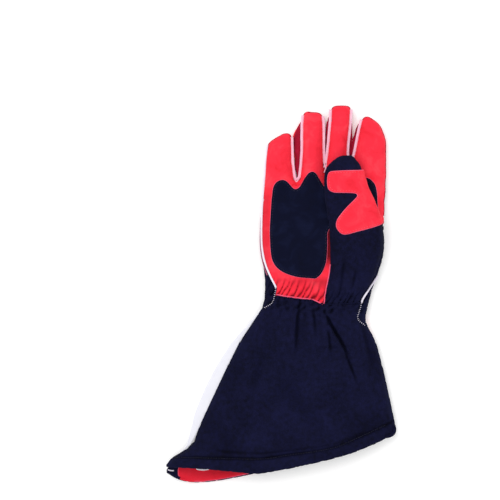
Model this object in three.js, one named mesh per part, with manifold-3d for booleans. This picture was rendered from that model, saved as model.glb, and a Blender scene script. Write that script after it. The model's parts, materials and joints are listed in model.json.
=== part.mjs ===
// Gauntlet racing glove for the right hand, lying palm up on its back.
// Millimetres, +Z up, +Y from the cuff towards the fingertips, +X towards the thumb side.
// The origin is under the middle of the glove, on the surface that it rests on.
import * as THREE from "three";
import { mergeVertices } from "three/addons/utils/BufferGeometryUtils.js";
import Module from "manifold-3d";

const wasm = await Module();
wasm.setup();

// Driving dimensions
const WALL = 2.0; // padded knit and suede shell
const THUMB_WALL = 1.8;
const PATCH = 1.2; // suede panel sewn on top of the shell
const GAP = 0.3; // clearance between neighbouring pieces
const SEAM_Z = 8; // height of the seam between the back and the palm side
const SIDE_WALL_Z = 4; // lower edge of the red walls between the fingers
const REST_Z = PATCH + GAP; // underside of the shell, which stands on its sewn panels
const PAD_TOP = PATCH + 2 * GAP; // clearance over the palm where the thumb lies on the pad
const THUMB_SEAM_Z = 25.5; // height of the seam round the free thumb
const TAPE_THICK = 1.4;
const TAG_THICK = 0.8;
const THUMB_PATCH_Z = 27; // lower edge of the patch on the thumb's flanks
const TURN_UP = 1; // how far below the side seam a piece that turns over it reaches
const TALL = 80; // height of a cutting prism
const FAR = 400; // reach of a cutting slab
const GATHER_Y = -8; // middle of the elastic across the wrist
const GATHER_REACH = 15; // how far the gathers run from the elastic before they fade
const GATHER_DEPTH = 1.2; // each step across a section goes up or down by this much
const EDGE_CROWDING = 0.45; // how far a section's points crowd towards its edges
const RELIEF_FADE = 1.4; // how soon the relief is full above the side seam
const FLATNESS = 1.12; // how far the rounded underside is pressed flat against the table
const LEAST_HALF_WIDTH = 0.6; // of a hollow's section near a fingertip
const GAP_ROOT_Y = 104; // where the walls between the fingers start
const FINGER_ROOT_Y = 120;
const TIP_PASS = 6; // how far a wall's strip runs past a tip, and how far beside its middle
const TIP_BACK = 8; // where the strip starts to turn round a tip
const TAG_TOP = 6; // kept clear of the side seam

// Cross sections of the hand and gauntlet, from the mouth to the root of the fingers.
const BODY = [
  { y: -209.0, left: -122.6, right: 125.2, top: 27.0 },
  { y: -183.9, left: -121.5, right: 123.1, top: 27.0 },
  { y: -173.4, left: -114.7, right: 122.1, top: 27.0 },
  { y: -162.9, left: -99.5, right: 122.6, top: 26.5 },
  { y: -154.5, left: -91.5, right: 122.3, top: 26.0 },
  { y: -138.8, left: -85.6, right: 121.1, top: 25.5 },
  { y: -72.6, left: -54.5, right: 106.5, top: 23.0 },
  { y: -49.5, left: -42.8, right: 100.0, top: 21.5 },
  { y: -38.0, left: -35.0, right: 94.0, top: 20.0 },
  { y: -29.0, left: -29.0, right: 89.3, top: 18.8 },
  { y: -21.0, left: -23.8, right: 89.3, top: 17.8 },
  { y: -13.8, left: -19.2, right: 91.0, top: 17.0 },
  { y: -5.4, left: -16.7, right: 93.0, top: 16.5 },
  { y: 5.1, left: -16.1, right: 95.6, top: 17.0 },
  { y: 15.6, left: -15.9, right: 99.8, top: 18.0 },
  { y: 36.6, left: -18.6, right: 107.2, top: 19.5 },
  { y: 52.3, left: -20.1, right: 109.5, top: 20.0 },
  { y: 67.0, left: -20.7, right: 108.4, top: 20.5 },
  { y: 83.8, left: -19.2, right: 108.4, top: 20.0 },
  { y: 99.6, left: -18.1, right: 108.7, top: 19.5 },
  { y: 114.3, left: -17.0, right: 110.0, top: 18.5 },
];

// Cross sections of each finger, from the palm to the tip. The skirts are how far the side walls
// stand out below the seam of the front panel.
const FINGERS = {
  little: [
    { y: 84.0, left: -13.0, right: 12.0, top: 14.0, bottom: 4, skirtLeft: 0, skirtRight: 0 },
    { y: 116.5, left: -16.8, right: 17.4, top: 18.2, bottom: 1.5, skirtLeft: 0, skirtRight: 0 },
    { y: 121.5, left: -16.5, right: 13.2, top: 17.5, bottom: 1.5, skirtLeft: 0, skirtRight: 0.5 },
    { y: 140.5, left: -15.5, right: 11.0, top: 16.0, bottom: 0, skirtLeft: 0, skirtRight: 1 },
    { y: 159.4, left: -12.3, right: 10.8, top: 14.5, bottom: 0.5, skirtLeft: 0, skirtRight: 0.8 },
    { y: 163.6, left: -6.0, right: 10.8, top: 13.5, bottom: 1.2, skirtLeft: 0, skirtRight: 0.5 },
    { y: 166.8, left: -0.3, right: 10.6, top: 12.0, bottom: 2.5, skirtLeft: 0, skirtRight: 0 },
    { y: 168.9, left: 3.4, right: 9.4, top: 10.0, bottom: 5.0, skirtLeft: 0, skirtRight: 0 },
  ],
  ring: [
    { y: 84.0, left: 20.0, right: 46.0, top: 16.0, bottom: 4, skirtLeft: 0, skirtRight: 0 },
    { y: 116.5, left: 15.5, right: 49.0, top: 18.2, bottom: 1.5, skirtLeft: 0, skirtRight: 0 },
    { y: 121.5, left: 20.9, right: 47.0, top: 17.5, bottom: 1.5, skirtLeft: 3, skirtRight: 0.5 },
    { y: 135.3, left: 22.7, right: 44.4, top: 16.5, bottom: 0, skirtLeft: 6, skirtRight: 1 },
    { y: 152.1, left: 23.9, right: 43.9, top: 16.0, bottom: 0, skirtLeft: 8.5, skirtRight: 1.5 },
    { y: 161.5, left: 23.9, right: 43.7, top: 16.0, bottom: 0, skirtLeft: 8.5, skirtRight: 2 },
    { y: 183.6, left: 24.2, right: 43.5, top: 15.0, bottom: 0, skirtLeft: 3, skirtRight: 2 },
    { y: 188.8, left: 25.3, right: 42.9, top: 13.0, bottom: 1.5, skirtLeft: 1, skirtRight: 1 },
    { y: 190.9, left: 28.1, right: 40.2, top: 10.5, bottom: 4.5, skirtLeft: 0, skirtRight: 0 },
  ],
  middle: [
    { y: 84.0, left: 48.0, right: 73.0, top: 16.0, bottom: 4, skirtLeft: 0, skirtRight: 0 },
    { y: 124.8, left: 45.9, right: 74.8, top: 18.0, bottom: 1.5, skirtLeft: 0, skirtRight: 0 },
    { y: 136.3, left: 48.6, right: 71.2, top: 17.0, bottom: 0.5, skirtLeft: 1, skirtRight: 2 },
    { y: 147.9, left: 50.3, right: 68.8, top: 16.5, bottom: 0, skirtLeft: 1.5, skirtRight: 4 },
    { y: 161.5, left: 51.9, right: 69.6, top: 16.0, bottom: 0, skirtLeft: 2, skirtRight: 4 },
    { y: 183.6, left: 53.8, right: 72.0, top: 15.5, bottom: 0, skirtLeft: 2, skirtRight: 3 },
    { y: 195.1, left: 54.3, right: 72.9, top: 13.5, bottom: 1.5, skirtLeft: 1, skirtRight: 1 },
    { y: 197.9, left: 57.5, right: 71.7, top: 10.5, bottom: 4.5, skirtLeft: 0, skirtRight: 0 },
  ],
  index: [
    { y: 84.0, left: 77.0, right: 103.0, top: 14.0, bottom: 4, skirtLeft: 0, skirtRight: 0 },
    { y: 121.5, left: 71.7, right: 110.3, top: 18.0, bottom: 1.5, skirtLeft: 0, skirtRight: 0 },
    { y: 136.3, left: 75.6, right: 110.3, top: 17.0, bottom: 0.5, skirtLeft: 1, skirtRight: 0 },
    { y: 151.0, left: 79.2, right: 110.3, top: 16.5, bottom: 0, skirtLeft: 3, skirtRight: 0 },
    { y: 162.8, left: 81.5, right: 110.1, top: 16.0, bottom: 0, skirtLeft: 3, skirtRight: 0 },
    { y: 176.8, left: 84.3, right: 104.9, top: 14.5, bottom: 0.5, skirtLeft: 2, skirtRight: 0 },
    { y: 181.5, left: 85.5, right: 100.5, top: 13.5, bottom: 1.5, skirtLeft: 1, skirtRight: 0 },
    { y: 184.2, left: 86.4, right: 95.8, top: 12.0, bottom: 3.0, skirtLeft: 0, skirtRight: 0 },
    { y: 186.5, left: 88.5, right: 93.5, top: 10.0, bottom: 5.5, skirtLeft: 0, skirtRight: 0 },
  ],
};

// Cross sections of the thumb and the ball of the thumb, from the wrist to the tip.
const THUMB = [
  { y: -9.0, left: 54.0, right: 82.0, top: 15.0, bottom: 9 },
  { y: 4.0, left: 50.5, right: 90.5, top: 19.5, bottom: 9 },
  { y: 12.4, left: 50.7, right: 94.5, top: 22.0, bottom: 9 },
  { y: 20.8, left: 51.6, right: 98.5, top: 24.5, bottom: 9 },
  { y: 30.3, left: 52.2, right: 102.0, top: 27.0, bottom: 9 },
  { y: 47.1, left: 52.3, right: 106.8, top: 31.5, bottom: 9 },
  { y: 67.0, left: 51.0, right: 106.8, top: 35.5, bottom: 10 },
  { y: 78.6, left: 49.0, right: 104.0, top: 37.0, bottom: 12 },
  { y: 93.3, left: 47.1, right: 97.9, top: 37.5, bottom: 14 },
  { y: 110.1, left: 46.0, right: 89.7, top: 37.5, bottom: 15 },
  { y: 120.6, left: 45.7, right: 86.8, top: 37.0, bottom: 15 },
  { y: 131.1, left: 46.5, right: 84.3, top: 36.0, bottom: 15 },
  { y: 135.5, left: 49.3, right: 83.0, top: 34.5, bottom: 16.2 },
  { y: 141.0, left: 54.7, right: 78.7, top: 31.5, bottom: 19 },
  { y: 145.2, left: 62.3, right: 74.4, top: 27.5, bottom: 22 },
];

// Creases pressed into the palm side of the gauntlet and the ball of the thumb.
const CREASES = [
  { x1: 20, y1: -18, x2: 14, y2: -50, depth: 2.2, width: 5 },
  { x1: 47, y1: -26, x2: 57, y2: -38, depth: 2.6, width: 4.5 },
  { x1: 57, y1: -38, x2: 74, y2: -80, depth: 2.6, width: 6 },
  { x1: 42, y1: -56, x2: 60, y2: -55, depth: 1.2, width: 4 },
  { x1: -12, y1: -40, x2: -22, y2: -80, depth: 1.4, width: 9 },
];

// Outlines seen from above, as [x, y].
const CUFF_LINE = [
  [-27, 1.9], [-4, -1.2], [18.5, -4], [31.8, -5.1], [42.6, -8.9], [50.7, -9.6], [67.5, -9.1],
  [85.3, -7.5], [109.5, -6.5],
];
const PALM_PAD = [
  [-8.2, 113.2], [-9.9, 98.5], [-11.8, 67], [-11, 47.1], [-5.6, 29.8], [7.6, 20.8], [31.8, 16.9],
  [42.6, 22.9], [47.5, 31.9], [47.8, 45], [47.5, 66], [52, 71], [84, 79], [101.5, 89], [101.1, 104.3],
  [97.9, 119.5], [89.5, 122.9], [67.5, 124.8], [46.5, 115.3], [40.5, 120.6], [32.8, 129.7],
  [23.9, 120.6], [15.3, 110.7], [8.3, 116.4], [0.8, 120.6], [-5, 118.8],
];
const THENAR = [
  [44, -FAR], [44.5, -14], [45.5, -1.7], [48, 10.3], [50.6, 22.4], [52.4, 35.5], [52.4, 67], [67.5, 71],
  [107.4, 73.5], [FAR, 60], [FAR, -FAR],
];
const THUMB_UNDER_REGION = [
  [-FAR, 76], [49, 76], [101, 82], [FAR, 82], [FAR, FAR], [-FAR, FAR],
];
const THUMB_PATCH = [
  [38, 128.5], [67.5, 129.4], [92, 130.6], [87, 122.7], [94.8, 99.6], [100, 87], [106.8, 74.6],
  [100, 71.7], [78.7, 65.8], [68, 63.1], [63.2, 63.6], [58.9, 68.1], [56.8, 73.3], [61.6, 83.8],
  [66.9, 90.4], [74.4, 97.9], [79.2, 103.3], [74.4, 106.4], [38, 106.4],
];
// Where the back panel turns up over the edge at the wrist, on the little finger's side and the thumb's.
const WRAP_LEFT = [
  [-20.5, 38.7], [-14.8, 28.2], [-11.5, 21.2], [-8.2, 12], [-4, 7.8], [-5.1, 1.3], [-9.4, -8.9],
  [-18.4, -14.2], [-60, -24], [-60, 34.5],
];
const WRAP_RIGHT = [
  [104, 23.3], [96.4, 12], [87.3, -2.3], [85.1, -5.4], [84.6, -10.7], [80.2, -23.7], [82.8, -26.4],
  [91, -33.8], [140, -28.5], [140, 15],
];
const PALM_HEM = [
  [-137.3, -183.9], [-30.2, -183.9], [-27.6, -187.5], [-2.9, -183.2], [20.2, -178], [43.8, -172.9],
  [67.3, -167.1], [81.1, -162.5], [95.4, -156.9], [113.7, -148.6], [122.5, -140.9], [135.7, -135.6],
];
const BACK_HEM = [
  [-137.3, -183.9], [-126.8, -184.5], [-117.3, -188.6], [-108.5, -194], [-98.1, -197], [-85, -197.9],
  [-67.7, -196.2], [-50.2, -193.1], [-27.6, -188.4], [-2.9, -183.9], [20.2, -178.7], [43.8, -173.4],
  [67.3, -167.6], [95.4, -157.2], [113.7, -148.8], [122.5, -140.9], [135.7, -135.6],
];
const KNUCKLE_PANEL = [
  [102, 90.2], [96.1, 75.8], [83.4, 69.2], [56.3, 62.8], [29.2, 57.6], [2, 48.6], [-10, 44.5],
  [-10, 108], [-3.4, 117.5], [7.7, 122.1], [18.2, 116.5], [27.3, 114], [43.6, 122.1], [59.9, 117],
  [78, 123], [88.8, 116.4], [101.4, 101.3],
];
const BACK_STRIPE = [
  [-14.2, -175.6], [24.4, -148.3], [51.4, -122.7], [71.5, -95.4], [84.5, -72.9], [91, -53.7], [88, -34.4],
  [85, -19.2], [80, -14], [65.9, -1.2], [62.6, 8.8], [65.4, 21.5], [70.7, 25], [89, 27.8], [97, 45],
  [99, 61.8], [83.4, 60.3], [56.3, 54], [29.2, 49.2], [15, 45], [2, 36], [-5.2, 23.3], [-6, 10.7],
  [-2, -1.2], [10.2, -18.4], [29.1, -37.6], [41.1, -44], [39, -56.9], [24.9, -76.1], [7.8, -95.4],
  [-26.1, -122.7], [-50.1, -141.9], [-74, -161], [-98, -FAR], [-14.2, -FAR],
];
const BLANK_LABEL = [[79.7, -64.9], [24.5, -124.3], [9.7, -105], [62.8, -50.9]];
const INSIDE_TAG = [[-92, -178], [-69, -178], [-69, -185.6], [-92, -185.6]];

// The binding tape along the little finger's side of the gauntlet: how far it stands out of the edge.
const TAPE = [
  { y: -14, out: 0.4 },
  { y: -30, out: 3 },
  { y: -50, out: 8 },
  { y: -75, out: 11.5 },
  { y: -100, out: 12.5 },
  { y: -125, out: 11 },
  { y: -145, out: 7 },
  { y: -158, out: 3.5 },
  { y: -166, out: 0.6 },
];

const COLOURS = {
  navy: { color: "#181c3a", roughness: 0.95 },
  pad: { color: "#12142a", roughness: 0.9 },
  red: { color: "#ee2f45", roughness: 0.92 },
  white: { color: "#ece9f2", roughness: 0.85 },
};

// Value of one column of a table at a height y, straight between the rows.
function sample(rows, y, column) {
  const rising = rows[rows.length - 1].y > rows[0].y;
  const ordered = rising ? rows : [...rows].reverse();
  const next = ordered.findIndex((row) => row.y >= y);
  if (next === 0) return ordered[0][column];
  if (next < 0) return ordered[ordered.length - 1][column];
  const [a, b] = [ordered[next - 1], ordered[next]];
  return a[column] + ((b[column] - a[column]) * (y - a.y)) / (b.y - a.y);
}

// How far the palm side is pressed in or out at a point of a section, from the gathers, which make a
// pleat for every two steps across, and from the creases.
function relief(x, y, step) {
  const away = (y - GATHER_Y) / GATHER_REACH;
  let height = GATHER_DEPTH * Math.exp(-away * away) * (step % 2 ? 1 : -1);
  for (const fold of CREASES) {
    const [dx, dy] = [fold.x2 - fold.x1, fold.y2 - fold.y1];
    const along = ((x - fold.x1) * dx + (y - fold.y1) * dy) / (dx * dx + dy * dy);
    const t = Math.min(1, Math.max(0, along));
    const distance = Math.hypot(x - fold.x1 - t * dx, y - fold.y1 - t * dy);
    height -= fold.depth * Math.exp(-((distance / fold.width) ** 2));
  }
  return height;
}

// One closed ring of points in the plane of a row, grown outwards by `grow`.
function ring(row, grow, seam, counts, withRelief) {
  const left = row.left - grow;
  const right = row.right + grow;
  const top = row.top + grow;
  const bottom = (row.bottom ?? REST_Z) - grow;
  const centre = (left + right) / 2;
  const half = (right - left) / 2;
  const points = [];
  for (let i = 0; i <= counts.top; i++) {
    const s = 1 - (2 * i) / counts.top;
    const u = EDGE_CROWDING * Math.sin((s * Math.PI) / 2) + (1 - EDGE_CROWDING) * s;
    const arch = Math.sqrt(Math.max(0, 1 - Math.abs(u) ** counts.power));
    const x = centre + u * half;
    const rise = withRelief ? relief(x, row.y, i) * Math.min(1, arch * RELIEF_FADE) ** 2 : 0;
    points.push([x, seam + (top - seam) * arch + (i === 0 || i === counts.top ? 0 : rise)]);
  }
  for (let i = 1; i < counts.bottom; i++) {
    const u = -1 + (2 * i) / counts.bottom;
    const arch = Math.min(1, FLATNESS * Math.sqrt(1 - Math.abs(u) ** 4));
    const skirt = u < 0 ? row.skirtLeft ?? 0 : row.skirtRight ?? 0;
    const spread = skirt * Math.sqrt(Math.abs(u)) * Math.sign(u);
    points.push([centre + u * half + spread, seam - (seam - bottom) * arch]);
  }
  return points.map(([x, z]) => [x, row.y, z]);
}

function toSolid(geometry) {
  geometry.deleteAttribute("normal");
  geometry.deleteAttribute("uv");
  const merged = mergeVertices(geometry, 1e-4);
  return new wasm.Manifold(
    new wasm.Mesh({
      numProp: 3,
      vertProperties: merged.attributes.position.array,
      triVerts: new Uint32Array(merged.index.array),
    }),
  );
}

// A closed loft through rings that all have the same number of points, capped at both ends.
function loft(rings) {
  const count = rings[0].length;
  const points = rings.flat();
  const index = [];
  for (let r = 0; r + 1 < rings.length; r++)
    for (let i = 0; i < count; i++) {
      const a = r * count + i;
      const b = r * count + ((i + 1) % count);
      index.push(a, b, a + count, b, b + count, a + count);
    }
  for (const r of [0, rings.length - 1]) {
    const centre = points.length;
    const sum = rings[r].reduce((s, p) => [s[0] + p[0], s[1] + p[1], s[2] + p[2]], [0, 0, 0]);
    points.push(sum.map((value) => value / count));
    for (let i = 0; i < count; i++) {
      const a = r * count + i;
      const b = r * count + ((i + 1) % count);
      index.push(...(r === 0 ? [b, a, centre] : [a, b, centre]));
    }
  }
  const geometry = new THREE.BufferGeometry();
  geometry.setAttribute("position", new THREE.Float32BufferAttribute(points.flat(), 3));
  geometry.setIndex(index);
  const solid = toSolid(geometry);
  return solid.volume() < 0 ? toSolid(flipped(geometry)) : solid;
}

// The largest body of a solid, without the slivers that a cut can leave.
function mainBody(solid) {
  return solid.decompose().reduce((best, one) => (one.volume() > best.volume() ? one : best));
}

function flipped(geometry) {
  const index = [...geometry.index.array];
  for (let i = 0; i < index.length; i += 3) [index[i], index[i + 1]] = [index[i + 1], index[i]];
  return geometry.clone().setIndex(index);
}

// A prism that stands on an outline between two heights.
function prism(outline, low = -TALL / 2, high = TALL) {
  const shape = new THREE.Shape(outline.map(([x, y]) => new THREE.Vector2(x, y)));
  const geometry = new THREE.ExtrudeGeometry(shape, { depth: high - low, bevelEnabled: false });
  return toSolid(geometry.translate(0, 0, low));
}

// The same outline with each point moved outwards by a distance.
function grown(outline, distance) {
  const turn = Math.sign(THREE.ShapeUtils.area(outline.map(([x, y]) => new THREE.Vector2(x, y))));
  return outline.map(([x, y], i) => {
    const [px, py] = outline[(i + outline.length - 1) % outline.length];
    const [nx, ny] = outline[(i + 1) % outline.length];
    const before = new THREE.Vector2(x - px, y - py).normalize();
    const after = new THREE.Vector2(nx - x, ny - y).normalize();
    const normal = before.add(after).normalize();
    return [x + turn * normal.y * distance, y - turn * normal.x * distance];
  });
}

const slab = (low, high) => prism([[-FAR, -FAR], [FAR, -FAR], [FAR, FAR], [-FAR, FAR]], low, high);
const union = (solids) => solids.reduce((joined, solid) => joined.add(solid));

// The hand and gauntlet in one closed form
const BODY_COUNTS = { top: 22, bottom: 6, power: 2.6 };
const FINGER_COUNTS = { top: 8, bottom: 4, power: 2.4 };
const THUMB_COUNTS = { top: 9, bottom: 4, power: 2.3 };

const body = (grow) => loft(BODY.map((row) => ring(row, grow, SEAM_Z, BODY_COUNTS, true)));

// A finger, whose tip moves along the finger with the rest of the surface.
function finger(rows, grow, seam, counts) {
  const tip = rows[rows.length - 1];
  const root = rows[0];
  const stretched = rows.map((row) => ({
    ...row,
    y: row.y + grow * Math.max(0, (row.y - root.y) / (tip.y - root.y)) ** 4,
  }));
  return loft(stretched.map((row) => ring(row, safeGrow(row, grow), seam(row), counts, false)));
}

// A small section near the tip can't shrink by the whole wall.
function safeGrow(row, grow) {
  const room = Math.min(row.right - row.left, row.top - row.bottom) / 2;
  return Math.max(grow, LEAST_HALF_WIDTH - room);
}

const fingerSeam = () => SEAM_Z;
const thumbSeam = (row) => (row.top + row.bottom) / 2;
const fingers = (grow) =>
  union(Object.values(FINGERS).map((rows) => finger(rows, grow, fingerSeam, FINGER_COUNTS)));
const hand = (grow) => body(grow).add(fingers(grow));
const thumb = (grow) => finger(THUMB, grow, thumbSeam, THUMB_COUNTS);

// Shells
const shell = hand(0).subtract(hand(-WALL));
const handRegion = prism([...CUFF_LINE, [FAR, 0], [FAR, FAR], [-FAR, FAR], [-FAR, 0]]);
const gauntletRegion = prism([
  ...CUFF_LINE.map(([x, y]) => [x, y - GAP]), [FAR, -GAP], [FAR, -FAR], [-FAR, -FAR], [-FAR, -GAP],
]);
const abovePalmHem = prism([...PALM_HEM, [FAR, -135], [FAR, FAR], [-FAR, FAR], [-FAR, -183.9]]);
const aboveBackHem = prism([...BACK_HEM, [FAR, -135], [FAR, FAR], [-FAR, FAR], [-FAR, -183.9]]);
const upper = slab(SEAM_Z + GAP / 2, TALL);
const lower = slab(-TALL, SEAM_Z - GAP / 2);
const turnUps = (gap) =>
  prism(grown(WRAP_LEFT, gap), SEAM_Z - TURN_UP).add(prism(grown(WRAP_RIGHT, gap), SEAM_Z - TURN_UP));
const wraps = turnUps(0);
const wrapsGrown = turnUps(GAP);
const thenarRegion = prism(THENAR);
const thenarGrown = prism(grown(THENAR, GAP));

// The red walls between the fingers, one for each gap: a strip from the middle of one finger to the
// middle of the next, which passes round both tips
function gapOutline(leftRows, rightRows) {
  const leftTip = leftRows[leftRows.length - 1];
  const rightTip = rightRows[rightRows.length - 1];
  const middleOf = (rows, y) => (sample(rows, y, "left") + sample(rows, y, "right")) / 2;
  return [
    [middleOf(leftRows, FINGER_ROOT_Y), GAP_ROOT_Y],
    [middleOf(rightRows, FINGER_ROOT_Y), GAP_ROOT_Y],
    [middleOf(rightRows, rightTip.y), rightTip.y - TIP_BACK],
    [middleOf(rightRows, rightTip.y) - TIP_PASS, rightTip.y + TIP_PASS],
    [middleOf(leftRows, leftTip.y) + TIP_PASS, leftTip.y + TIP_PASS],
    [middleOf(leftRows, leftTip.y), leftTip.y - TIP_BACK],
  ];
}
const { little, ring: ringFinger, middle, index: indexFinger } = FINGERS;
const GAPS = [
  { name: "side_wall_little_ring", outline: gapOutline(little, ringFinger) },
  { name: "side_wall_ring_middle", outline: gapOutline(ringFinger, middle) },
  { name: "side_wall_middle_index", outline: gapOutline(middle, indexFinger) },
];
const wallBand = slab(SIDE_WALL_Z, SEAM_Z - GAP / 2);

const solids = new Map();
const allGaps = union(GAPS.map((gap) => prism(gap.outline, SIDE_WALL_Z - GAP, SEAM_Z)));
for (const gap of GAPS) {
  const solid = shell.intersect(prism(gap.outline)).intersect(wallBand);
  solids.set(gap.name, { solid, finish: "red" });
}

const mainLower = shell.intersect(lower).subtract(allGaps);
const turnedUp = body(0).subtract(body(-WALL)).intersect(wraps);
const handFront = fingers(0).add(body(0)).subtract(hand(-WALL)).intersect(upper).subtract(wrapsGrown);
solids.set("back_panel", { solid: mainLower.add(turnedUp).intersect(aboveBackHem), finish: "navy" });
solids.set("palm_panel", {
  solid: handFront.intersect(handRegion).subtract(thenarGrown),
  finish: "red",
});
solids.set("gauntlet_palm", {
  solid: handFront.intersect(gauntletRegion).intersect(abovePalmHem),
  finish: "navy",
});

// Thumb: the ball of the thumb takes the place of the palm panel, and the free thumb lies on the pad
const underThumb = hand(PAD_TOP).subtract(thenarRegion);
const underHollow = hand(PAD_TOP + THUMB_WALL).subtract(prism(grown(THENAR, -THUMB_WALL)));
const thumbOuter = body(0).intersect(thenarRegion).add(thumb(0).subtract(underThumb));
const thumbInner = body(-WALL).add(thumb(-THUMB_WALL).subtract(underHollow));
const thumbShell = thumbOuter
  .subtract(thumbInner)
  .intersect(handRegion)
  .intersect(upper)
  .subtract(wrapsGrown);
const underRegion = prism(THUMB_UNDER_REGION, -TALL, THUMB_SEAM_Z);
const underWithGap = prism(grown(THUMB_UNDER_REGION, -GAP), -TALL, THUMB_SEAM_Z - GAP);
solids.set("thumb_front", { solid: thumbShell.subtract(underRegion), finish: "navy" });
solids.set("thumb_underside", { solid: thumbShell.intersect(underWithGap), finish: "navy" });

// Panels sewn on top of the shell
const onShell = (form, outline, low, high) =>
  form(PATCH + GAP).subtract(form(GAP)).intersect(prism(outline, low, high));
solids.set("palm_pad", { solid: onShell(hand, PALM_PAD, SEAM_Z + TURN_UP, TALL), finish: "pad" });
solids.set("thumb_patch", { solid: onShell(thumb, THUMB_PATCH, THUMB_PATCH_Z, TALL), finish: "red" });
solids.set("knuckle_panel", { solid: onShell(hand, KNUCKLE_PANEL, 0, SIDE_WALL_Z - GAP), finish: "red" });
solids.set("back_stripe", {
  solid: onShell(body, BACK_STRIPE, -TALL, SEAM_Z - TURN_UP)
    .intersect(aboveBackHem)
    .subtract(prism(grown(BLANK_LABEL, GAP))),
  finish: "red",
});
solids.set("blank_label", { solid: onShell(body, BLANK_LABEL, -TALL, SEAM_Z - TURN_UP), finish: "white" });

// White tape that stands out of the gauntlet's edge on the little finger's side
const tapeRings = TAPE.map((row) => {
  const edge = sample(BODY, row.y, "left");
  const low = SEAM_Z - TAPE_THICK / 2;
  const outer = edge - row.out - GAP;
  return [
    [edge - GAP, row.y, low],
    [edge - GAP, row.y, low + TAPE_THICK],
    [outer, row.y, low + TAPE_THICK],
    [outer, row.y, low],
  ];
});
solids.set("side_binding", { solid: loft(tapeRings), finish: "white" });

// The plain tag that shows inside the mouth
solids.set("inside_tag", {
  solid: body(-WALL - GAP)
    .subtract(body(-WALL - GAP - TAG_THICK))
    .intersect(prism(INSIDE_TAG, -TALL, TAG_TOP)),
  finish: "white",
});

const glove = new THREE.Group();
for (const [name, { solid, finish }] of solids) {
  const mesh = mainBody(solid).getMesh();
  const geometry = new THREE.BufferGeometry();
  geometry.setAttribute("position", new THREE.BufferAttribute(mesh.vertProperties, mesh.numProp));
  geometry.setIndex(new THREE.BufferAttribute(mesh.triVerts, 1));
  geometry.computeVertexNormals();
  const material = new THREE.MeshStandardMaterial({ ...COLOURS[finish], metalness: 0 });
  const piece = new THREE.Mesh(geometry, material);
  piece.name = name;
  glove.add(piece);
}

export default glove;
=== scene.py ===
"""Gauntlet racing glove for the right hand, laid palm up on a pale table."""
import json
import math

import bmesh
import bpy
import numpy as np
from bpy.props import FloatProperty, FloatVectorProperty, PointerProperty
from mathutils import Matrix, Vector
from mathutils.bvhtree import BVHTree

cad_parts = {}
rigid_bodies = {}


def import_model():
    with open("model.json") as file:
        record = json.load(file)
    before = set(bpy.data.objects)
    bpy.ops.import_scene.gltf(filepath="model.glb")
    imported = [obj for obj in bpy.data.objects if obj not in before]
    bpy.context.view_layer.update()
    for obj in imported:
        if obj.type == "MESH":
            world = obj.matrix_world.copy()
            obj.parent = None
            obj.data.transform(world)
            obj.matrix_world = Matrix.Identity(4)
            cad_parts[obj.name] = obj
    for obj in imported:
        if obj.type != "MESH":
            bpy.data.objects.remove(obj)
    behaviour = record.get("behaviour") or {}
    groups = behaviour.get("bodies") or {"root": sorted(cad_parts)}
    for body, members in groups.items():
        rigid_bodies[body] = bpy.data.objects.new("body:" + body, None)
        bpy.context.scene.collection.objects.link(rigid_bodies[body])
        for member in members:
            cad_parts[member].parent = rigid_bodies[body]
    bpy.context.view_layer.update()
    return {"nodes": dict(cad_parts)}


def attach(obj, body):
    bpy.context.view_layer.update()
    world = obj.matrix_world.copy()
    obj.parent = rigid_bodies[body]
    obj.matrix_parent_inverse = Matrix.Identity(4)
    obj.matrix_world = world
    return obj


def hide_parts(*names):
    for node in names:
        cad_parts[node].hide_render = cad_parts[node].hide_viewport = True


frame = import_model()

bl_info = {
    "name": "Racing glove",
    "version": (1, 0, 0),
    "blender": (4, 5, 0),
    "location": "3D View > Sidebar > Glove",
    "description": "Builds a gauntlet racing glove with suede panels, gathers and overlocked seams",
    "category": "Object",
}

MM = 0.001
DOWN = (0.0, 0.0, -1.0)
UP = (0.0, 0.0, 1.0)
AROUND = (1.0, 0.0, -1.0)  # from above, and round the flank of the thumb

WRIST_LOW = -45.0 * MM  # the stretch with the gathers, which gets the finest facets
WRIST_HIGH = 24.0 * MM
SEAM_HEIGHT = 8.0  # height of the seam between the back and the palm side, in millimetres

# The elastic across the wrist, from the little finger's side to the thumb's, in millimetres
ELASTIC_X = (-27.0, -4.0, 18.5, 31.8, 42.6, 50.7, 67.5, 85.3, 109.5)
ELASTIC_Y = (1.9, -1.2, -4.0, -5.1, -8.9, -9.6, -9.1, -7.5, -6.5)

# Hem of the palm side of the gauntlet
PALM_HEM_X = (-137.0, -30.2, -27.6, -2.9, 20.2, 43.8, 67.3, 81.1, 95.4, 113.7, 122.5, 135.7)
PALM_HEM_Y = (
    -183.9, -183.9, -187.5, -183.2, -178.0, -172.9, -167.1, -162.5, -156.9, -148.6, -140.9, -135.6,
)

# Hem of the back of the gauntlet
BACK_HEM_X = (-137.0, -126.8, -117.3, -108.5, -98.1, -85.0, -67.7, -50.2, -27.6, -2.9, 20.2, 43.8, 67.3,
              95.4, 113.7, 122.5, 135.7)
BACK_HEM_Y = (-183.9, -184.5, -188.6, -194.0, -197.0, -197.9, -196.2, -193.1, -188.4, -183.9, -178.7,
              -173.4, -167.6, -157.2, -148.8, -140.9, -135.6)

# The same hem as the cloth settles: it lies a little higher over the mouth's left end
SETTLED_HEM_X = (
    -137.0, -95.0, -75.0, -60.0, -47.0, -27.6, -2.9, 20.2, 43.8, 67.3, 81.1, 95.4, 113.7, 122.5, 135.7,
)
SETTLED_HEM_Y = (
    -180.6, -181.0, -181.8, -183.2, -184.3, -186.4, -183.2, -178.2, -172.9, -167.1, -162.5, -156.9,
    -148.6, -140.9, -135.6,
)

# The stitched groove above the gauntlet's hem
HEM_GROOVE_X = (-137.0, -112.0, -93.2, -21.8, 6.4, 34.5, 58.0, 71.7, 109.5, 125.0)
HEM_GROOVE_Y = (-173.5, -171.0, -170.3, -171.0, -167.1, -163.4, -158.7, -153.0, -136.7, -129.5)

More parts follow.
